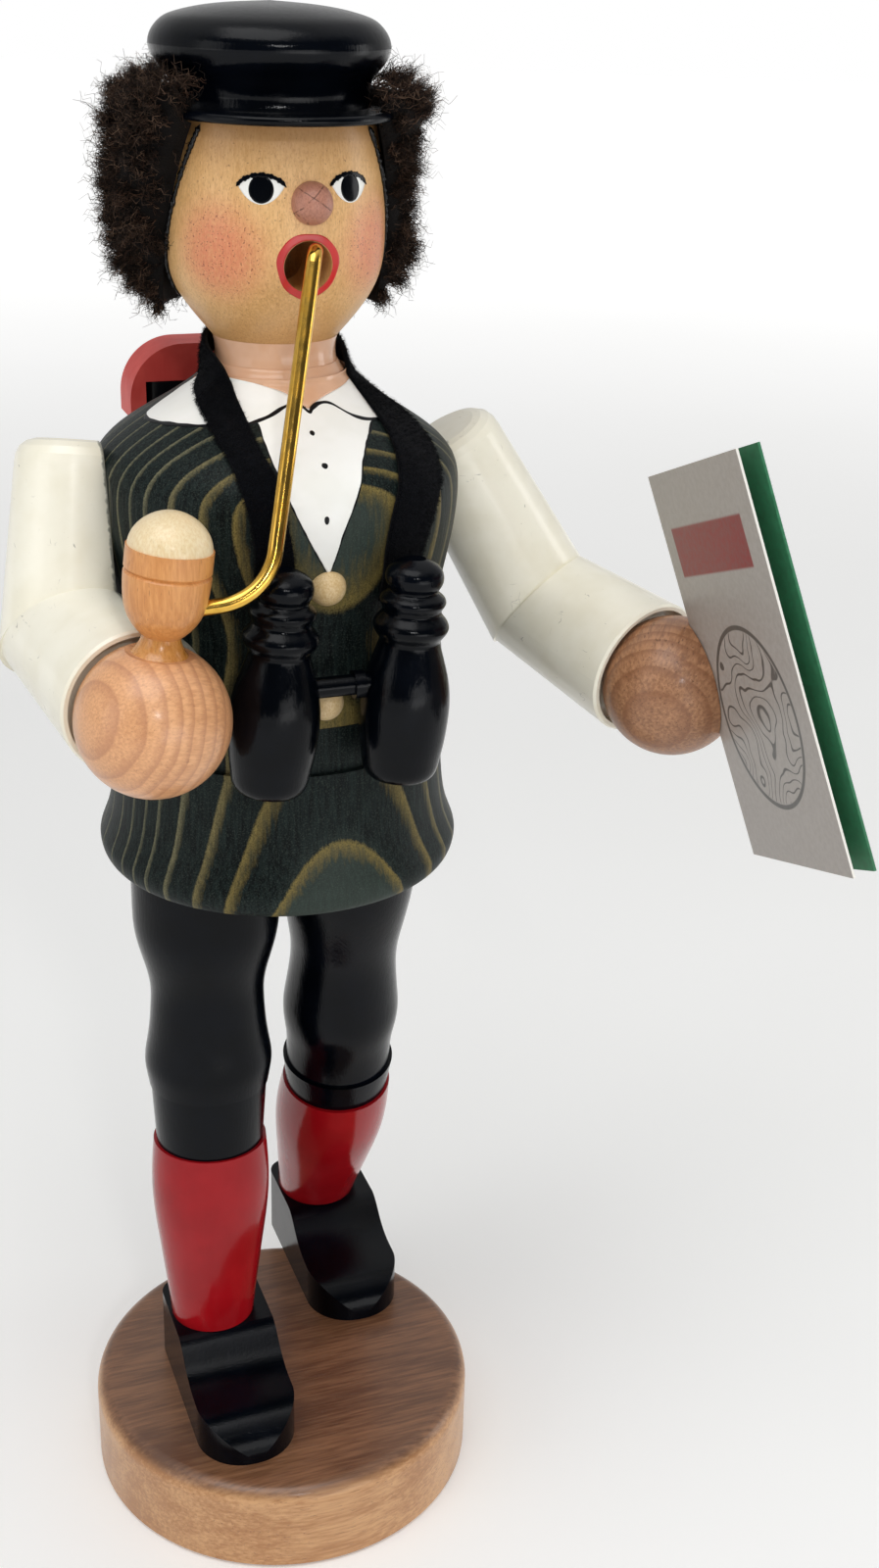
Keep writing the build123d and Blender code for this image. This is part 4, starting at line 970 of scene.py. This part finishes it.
def glue_bead(name, side, front, seed, count=220, sides=10):
    """A lumpy bead of glue down a tuft's front edge: a round tube whose radius wavers."""
    levels = np.linspace(294.0, 327.6, 12)
    azimuths = side * (temple_turn(levels, front) - 1.2) + head_turn
    path = curve(np.stack((azimuths, levels), axis=-1), count)
    centre = on_turning(head_profile, *path.T, 0.2)
    way = unit(np.gradient(centre, axis=0))
    across = unit(np.cross(way, unit(centre * np.array((1, 1, 0)))))
    out = np.cross(across, way)
    waver = np.random.default_rng(seed).uniform(0.1, 2.0, count + 20)
    waver = np.convolve(waver, np.ones(4) / 4, mode="same")[:count]
    stop = np.arange(count)
    waver = waver * np.clip(np.minimum(stop, count - 1 - stop) / 6.0, 0.05, 1)
    angle = np.linspace(0, 2 * np.pi, sides, endpoint=False)[None, :, None]
    rim = across[:, None] * np.cos(angle) + out[:, None] * np.sin(angle)
    points = centre[:, None] + rim * (0.42 * waver)[:, None, None]
    ring = np.arange(sides)[None]
    faces = [grid_faces(count, sides, True)[:, ::-1], ring[:, ::-1], (count - 1) * sides + ring]
    make_piece(name, points, faces, "dark_glue")


glue_bead("glue_bead_right", -1, right_front, 3)
glue_bead("glue_bead_left", 1, left_front, 4)

# Neck ribbon: its two edges as azimuth and height, from the right eyepiece round the neck to the left one
ribbon_low_edge = [
    (-24.4, 239.6), (-23.1, 242.5), (-21.7, 250.0), (-22.5, 256.4), (-24.5, 261.4), (-28.8, 266.1),
    (-36.0, 269.6), (-50.0, 273.2), (-72.0, 276.6), (-95.0, 279.4), (-120.0, 281.2), (-150.0, 282.2),
    (-180.0, 282.4), (-210.0, 282.2), (-238.0, 281.0), (-262.0, 278.6), (-277.0, 275.8), (-288.0, 272.8),
    (-299.0, 269.6), (-310.5, 265.6), (-317.5, 261.6), (-322.0, 257.4), (-325.5, 252.2), (-327.3, 246.0),
    (-329.2, 239.6)]
ribbon_high_edge = [
    (-12.9, 239.6), (-11.5, 242.5), (-10.8, 250.0), (-12.2, 256.4), (-13.5, 261.5), (-15.9, 266.0),
    (-22.7, 270.2), (-31.0, 273.9), (-44.0, 277.6), (-62.0, 281.6), (-88.0, 284.8), (-124.0, 286.5),
    (-180.0, 287.0), (-232.0, 286.6), (-262.0, 285.2), (-283.0, 282.4), (-300.0, 278.9), (-314.0, 274.6),
    (-323.3, 270.6), (-331.7, 266.2), (-337.8, 260.8), (-340.4, 256.6), (-341.9, 251.0), (-341.9, 245.0),
    (-342.2, 239.6)]
ribbon_pivot_back = -8.0


def ribbon_surface(lift, rows=420, columns=22):
    """Rows across the ribbon over torso and neck: each lies between the two edges and cups a little."""
    low = torso_profile[0] < 279.0
    support = (np.concatenate((torso_profile[0][low], (280.2, 281.6, 283.4, 288.0))),
               np.concatenate((torso_profile[1][low], (14.2, 13.6, 13.4, 13.4))))
    low_edge = curve(ribbon_low_edge, rows)[:, None]
    high_edge = curve(ribbon_high_edge, rows)[:, None]
    share = np.linspace(0, 1, columns)[None, :, None]
    flat = low_edge + (high_edge - low_edge) * share
    share = share[..., 0]
    run = np.linspace(0, 1, rows)[:, None]
    cup = 0.3 * np.sin(np.pi * share) + 0.14 * np.sin(run * 61 + share * 4)
    edge_lift = 0.3 * np.sin(run * 27 + 2) * (1 - np.sin(np.pi * share))
    return on_turning(support, flat[..., 0], flat[..., 1], lift + cup + np.maximum(edge_lift, -0.05))


under_face = ribbon_surface(lift=0.3)
over_face = ribbon_surface(lift=1.2)


def ribbon_band(name, node, body, stretch, nap_count):
    """A stretch of the ribbon with two faces, covered in short nap."""
    face, back = over_face[stretch], under_face[stretch]
    rows, columns = face.shape[:2]
    outward = np.cross(face[1, 1] - face[0, 1], face[0, 2] - face[0, 1]) @ (face[0, 1] - back[0, 1]) > 0
    loop = np.concatenate((face, back[:, ::-1]), axis=1)
    band = make_piece(name, loop, shell_faces(rows, columns, outward), "black_ribbon", body)
    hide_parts(node)
    row = rng.integers(0, rows - 1, nap_count)
    column = np.clip((rng.beta(0.6, 0.6, nap_count) * columns).astype(int), 0, columns - 1)
    shift = rng.uniform(0, 1, (nap_count, 1))
    roots = face[row, column] * (1 - shift) + face[row + 1, column] * shift
    out = unit(face[row, column] - back[row, column])
    edge = np.where(column < columns / 2, 0, columns - 1)
    aside = unit(face[row, edge] - face[row, columns // 2])
    middle = (columns - 1) / 2
    near_edge = (np.abs(column - middle) / middle)[:, None] ** 4
    ways = out * (1 - 0.6 * near_edge) + aside * near_edge * 0.9 + rng.normal(size=(nap_count, 3)) * 0.5
    lengths = rng.uniform(0.3, 0.85, nap_count)
    strands(name + "_nap", roots, unit(ways), lengths, swing=0.16, thickness=0.045, finish="black_ribbon",
            body=body, steps=3, waves=0.7)


centre_column = over_face.shape[1] // 2
behind = np.flatnonzero(over_face[:, centre_column, 1] > ribbon_pivot_back)
first, last = behind[0], behind[-1]
ribbon_band("ribbon_fall_right", "strap_right", "binoculars", slice(0, first + 1), nap_count=5200)
ribbon_band("ribbon_loop", "strap_neck", "upper", slice(first, last + 1), nap_count=4600)
ribbon_band("ribbon_fall_left", "strap_left", "binoculars", slice(last, None), nap_count=5200)

# Folded map: two leaves and a fold, with a printed front and a green back leaf
map_corner = np.array((72.3, -28.4, 259.1))
map_across = np.array((-0.130754, -0.926645, 0.352466))
map_down = unit(np.array((15.9, -31.0, -75.4)))


def map_finish():
    """Coated card: a pale front with a dark red block and looped height lines, and a green back leaf."""
    shader, place = new_finish("map_card", Coat_Weight=0.15, Coat_Roughness=0.2)
    u, v = split(Signal(place.tree.nodes.new("ShaderNodeTexCoord").outputs["UV"]))[:2]
    paper = cloud(place, 0.8, 4.0)
    tone = spread(paper, 0.3, 0.7)
    stock = blend(tone, (172, 165, 158), (184, 178, 172))
    block = within(u, 0.1, 0.87, 0.004) * within(v, 0.14, 0.265, 0.004)
    stock = blend(block, stock, blend(spread(paper, 0.35, 0.65), (132, 30, 34), (146, 38, 40)))
    flat = join(u * map_width, v * map_height, 0.0)
    steps = math_of("FRACT", cloud(flat, 0.045, 2.0, 0.4) * 22.0)
    line = fall(math_of("ABSOLUTE", steps - 0.5), 0.05, 0.11)
    from_middle = away(flat, (25.0, 52.0, 0.0))
    rim = spread(from_middle, 18.0, 18.3) * fall(from_middle, 19.0, 19.3)
    drawn = math_of("MAXIMUM", line * fall(from_middle, 17.5, 18.5), rim)
    stock = blend(drawn * 0.85, stock, (62, 62, 58))
    colour = blend(spread(u, 1.49, 1.51), stock, blend(tone, (40, 108, 72), (50, 124, 86)))
    edge = spread(u, 1.0005, 1.001) * fall(u, 1.485, 1.49)
    colour = blend(edge, colour, (240, 238, 230))
    surface(shader, colour, spread(paper, 0.3, 0.7, 0.36, 0.48), paper, 0.03)


def make_map():
    """A closed strip round both leaves: the section runs along the front, back through the gap and round the
    fold; the leaves part beyond the pinch and bow gently down their length."""
    thick, gap, pinch, parting = 0.5, 0.3, 24.0, np.radians(8.0)
    fold_depth = 0.6
    rows, columns = 90, 60
    share = np.linspace(0, 1, columns)
    under = share * (map_width - fold_depth) + fold_depth
    open_up = np.maximum(share * map_width - pinch, 0) * np.sin(parting)
    run = np.concatenate((share * map_width, under[::-1], under, share[::-1] * map_width))
    depth = np.concatenate((0 * share, 0 * share - thick, -thick - gap - open_up,
                            -2 * thick - gap - open_up[::-1]))
    print_u = np.concatenate((share, 1.2 + 0 * share, 1.62 + 0 * share, 1.6 + 0.3 * share))
    down = np.linspace(0, 1, rows)[:, None]
    bow = 0.35 * np.sin(np.pi * down) * np.clip(run / map_width - 0.5, 0, 1)
    depth = depth + 0.25 * bow
    points = (map_corner + map_across * run[None, :, None] + map_down * (down * map_height)[..., None]
              + np.cross(map_down, map_across) * depth[..., None])
    flat = np.stack((print_u + 0 * down, down + 0 * print_u), axis=-1)
    count = len(run)
    ring = np.arange(columns - 1)
    lids = []
    for start in (0, 2 * columns):
        other = start + 2 * columns - 1
        lids.append(np.stack((start + ring, start + ring + 1, other - ring - 1, other - ring), axis=-1))
    lids.append(np.array(((2 * columns - 1, 2 * columns, 4 * columns - 1, 0),)))
    faces = [grid_faces(rows, count, True)]
    for lid in lids:
        faces += [lid[:, ::-1], lid + (rows - 1) * count]
    piece = make_piece("trail_map", points, faces, "map_card", "map", flat)
    piece.data.polygons.foreach_set("use_smooth", np.zeros(len(piece.data.polygons), bool))
    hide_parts("folded_map")


map_finish()
make_map()


# Floor, backdrop and light
def shown_plainly(tree):
    """One for rays that come from the camera, from gloss or through glass."""
    seen = tree.nodes.new("ShaderNodeLightPath").outputs
    show = math_of("MAXIMUM", Signal(seen["Is Camera Ray"]), Signal(seen["Is Glossy Ray"]))
    return math_of("MAXIMUM", show, Signal(seen["Is Transmission Ray"]))


def floor_finish():
    """Pale floor that keeps soft shadows and shows as near white to the camera and in gloss."""
    shader, place = new_finish("studio_floor", Roughness=0.7, Specular_IOR_Level=0.1)
    feed(blend(cloud(place, 0.004, 2.0), (240, 240, 238), (246, 246, 245)), shader.inputs["Base Color"])
    tree = place.tree
    far = spread(vector_of("LENGTH", place, output=1), 250.0, 2200.0, 0.16, 0.62)
    glow = add(tree, "ShaderNodeEmission", Color=(1, 1, 1, 1), Strength=shown_plainly(tree) * far)
    both = tree.nodes.new("ShaderNodeAddShader")
    end = shader.outputs[0].links[0].to_socket
    tree.links.new(shader.outputs[0], both.inputs[0])
    tree.links.new(glow.outputs[0], both.inputs[1])
    tree.links.new(both.outputs[0], end)


def make_floor():
    """A flat disc, in metres, just under the base."""
    radius, level, corners = 6, -0.0002, 96
    rim = [(radius * np.cos(a), radius * np.sin(a), level)
           for a in np.linspace(0, 2 * np.pi, corners, endpoint=False)]
    mesh = bpy.data.meshes.new("studio_floor")
    mesh.from_pydata(rim, [], [tuple(range(corners))])
    mesh.materials.append(finishes["studio_floor"])
    floor = bpy.data.objects.new("studio_floor", mesh)
    bpy.context.scene.collection.objects.link(floor)


def make_world():
    """Soft light from all round, and a white backdrop for the camera and glass; gloss sees it dimmer, most of
    all in front of the figure."""
    world = bpy.data.worlds.new("studio_world")
    bpy.context.scene.world = world
    world.use_nodes = True
    tree = world.node_tree
    tree.nodes.clear()
    x, y, z = split(Signal(tree.nodes.new("ShaderNodeTexCoord").outputs["Generated"]))
    in_gloss = Signal(tree.nodes.new("ShaderNodeLightPath").outputs["Is Glossy Ray"])
    dimming = spread(y, 0.1, -0.35, 0.45, 0.92) * spread(z, 0.55, 0.9, 1.0, 0.25) * in_gloss
    strength = spread(shown_plainly(tree), 0.0, 1.0, 0.45, 1.0) * (1.0 - dimming)
    back = add(tree, "ShaderNodeBackground", Color=(1, 1, 1, 1), Strength=strength)
    tree.links.new(back.outputs[0], tree.nodes.new("ShaderNodeOutputWorld").inputs[0])


def softbox(name, place, width, height, watts):
    """A rectangular lamp at a place in metres, turned to the figure's middle."""
    lamp = bpy.data.lights.new(name, "AREA")
    lamp.shape = "RECTANGLE"
    lamp.size = width
    lamp.size_y = height
    lamp.energy = watts
    holder = bpy.data.objects.new(name, lamp)
    holder.location = place
    holder.rotation_euler = (Vector((0.0, 0.0, 0.2)) - Vector(place)).to_track_quat("-Z", "Y").to_euler()
    bpy.context.scene.collection.objects.link(holder)


floor_finish()
make_floor()
make_world()
softbox("overhead_softbox", (-0.25, -0.35, 1.25), width=0.9, height=0.7, watts=5.2)
softbox("front_window", (-0.10, -0.95, 0.72), width=0.085, height=0.07, watts=1.2)
softbox("front_fill", (0.35, -1.3, 0.18), width=0.9, height=0.5, watts=3.0)
softbox("side_strip", (0.95, -0.15, 0.32), width=0.25, height=0.6, watts=1.2)
softbox("left_fill", (-1.0, -0.3, 0.5), width=0.5, height=0.7, watts=1.4)

# Camera, solved from the photograph
camera_place = np.array((-105.45, -372.14, 359.17))
yaw, pitch, roll = -0.36976, 0.41944, 0.03037
back_way = np.array((np.sin(yaw) * np.cos(pitch), -np.cos(yaw) * np.cos(pitch), np.sin(pitch)))
level_way = np.array((np.cos(yaw), np.sin(yaw), 0.0))
steep_way = np.cross(back_way, level_way)
lens = bpy.data.cameras.new("photo_camera")
lens.sensor_width = 36.0
lens.lens = 43.18
lens.clip_start = 0.01
lens.clip_end = 50.0
camera = bpy.data.objects.new("photo_camera", lens)
stand = np.eye(4)
stand[:3, 0] = np.cos(roll) * level_way + np.sin(roll) * steep_way
stand[:3, 1] = -np.sin(roll) * level_way + np.cos(roll) * steep_way
stand[:3, 2] = back_way
stand[:3, 3] = camera_place * mm
camera.matrix_world = Matrix(stand.tolist())
bpy.context.scene.collection.objects.link(camera)
bpy.context.scene.camera = camera
bpy.context.scene.view_settings.view_transform = "Standard"
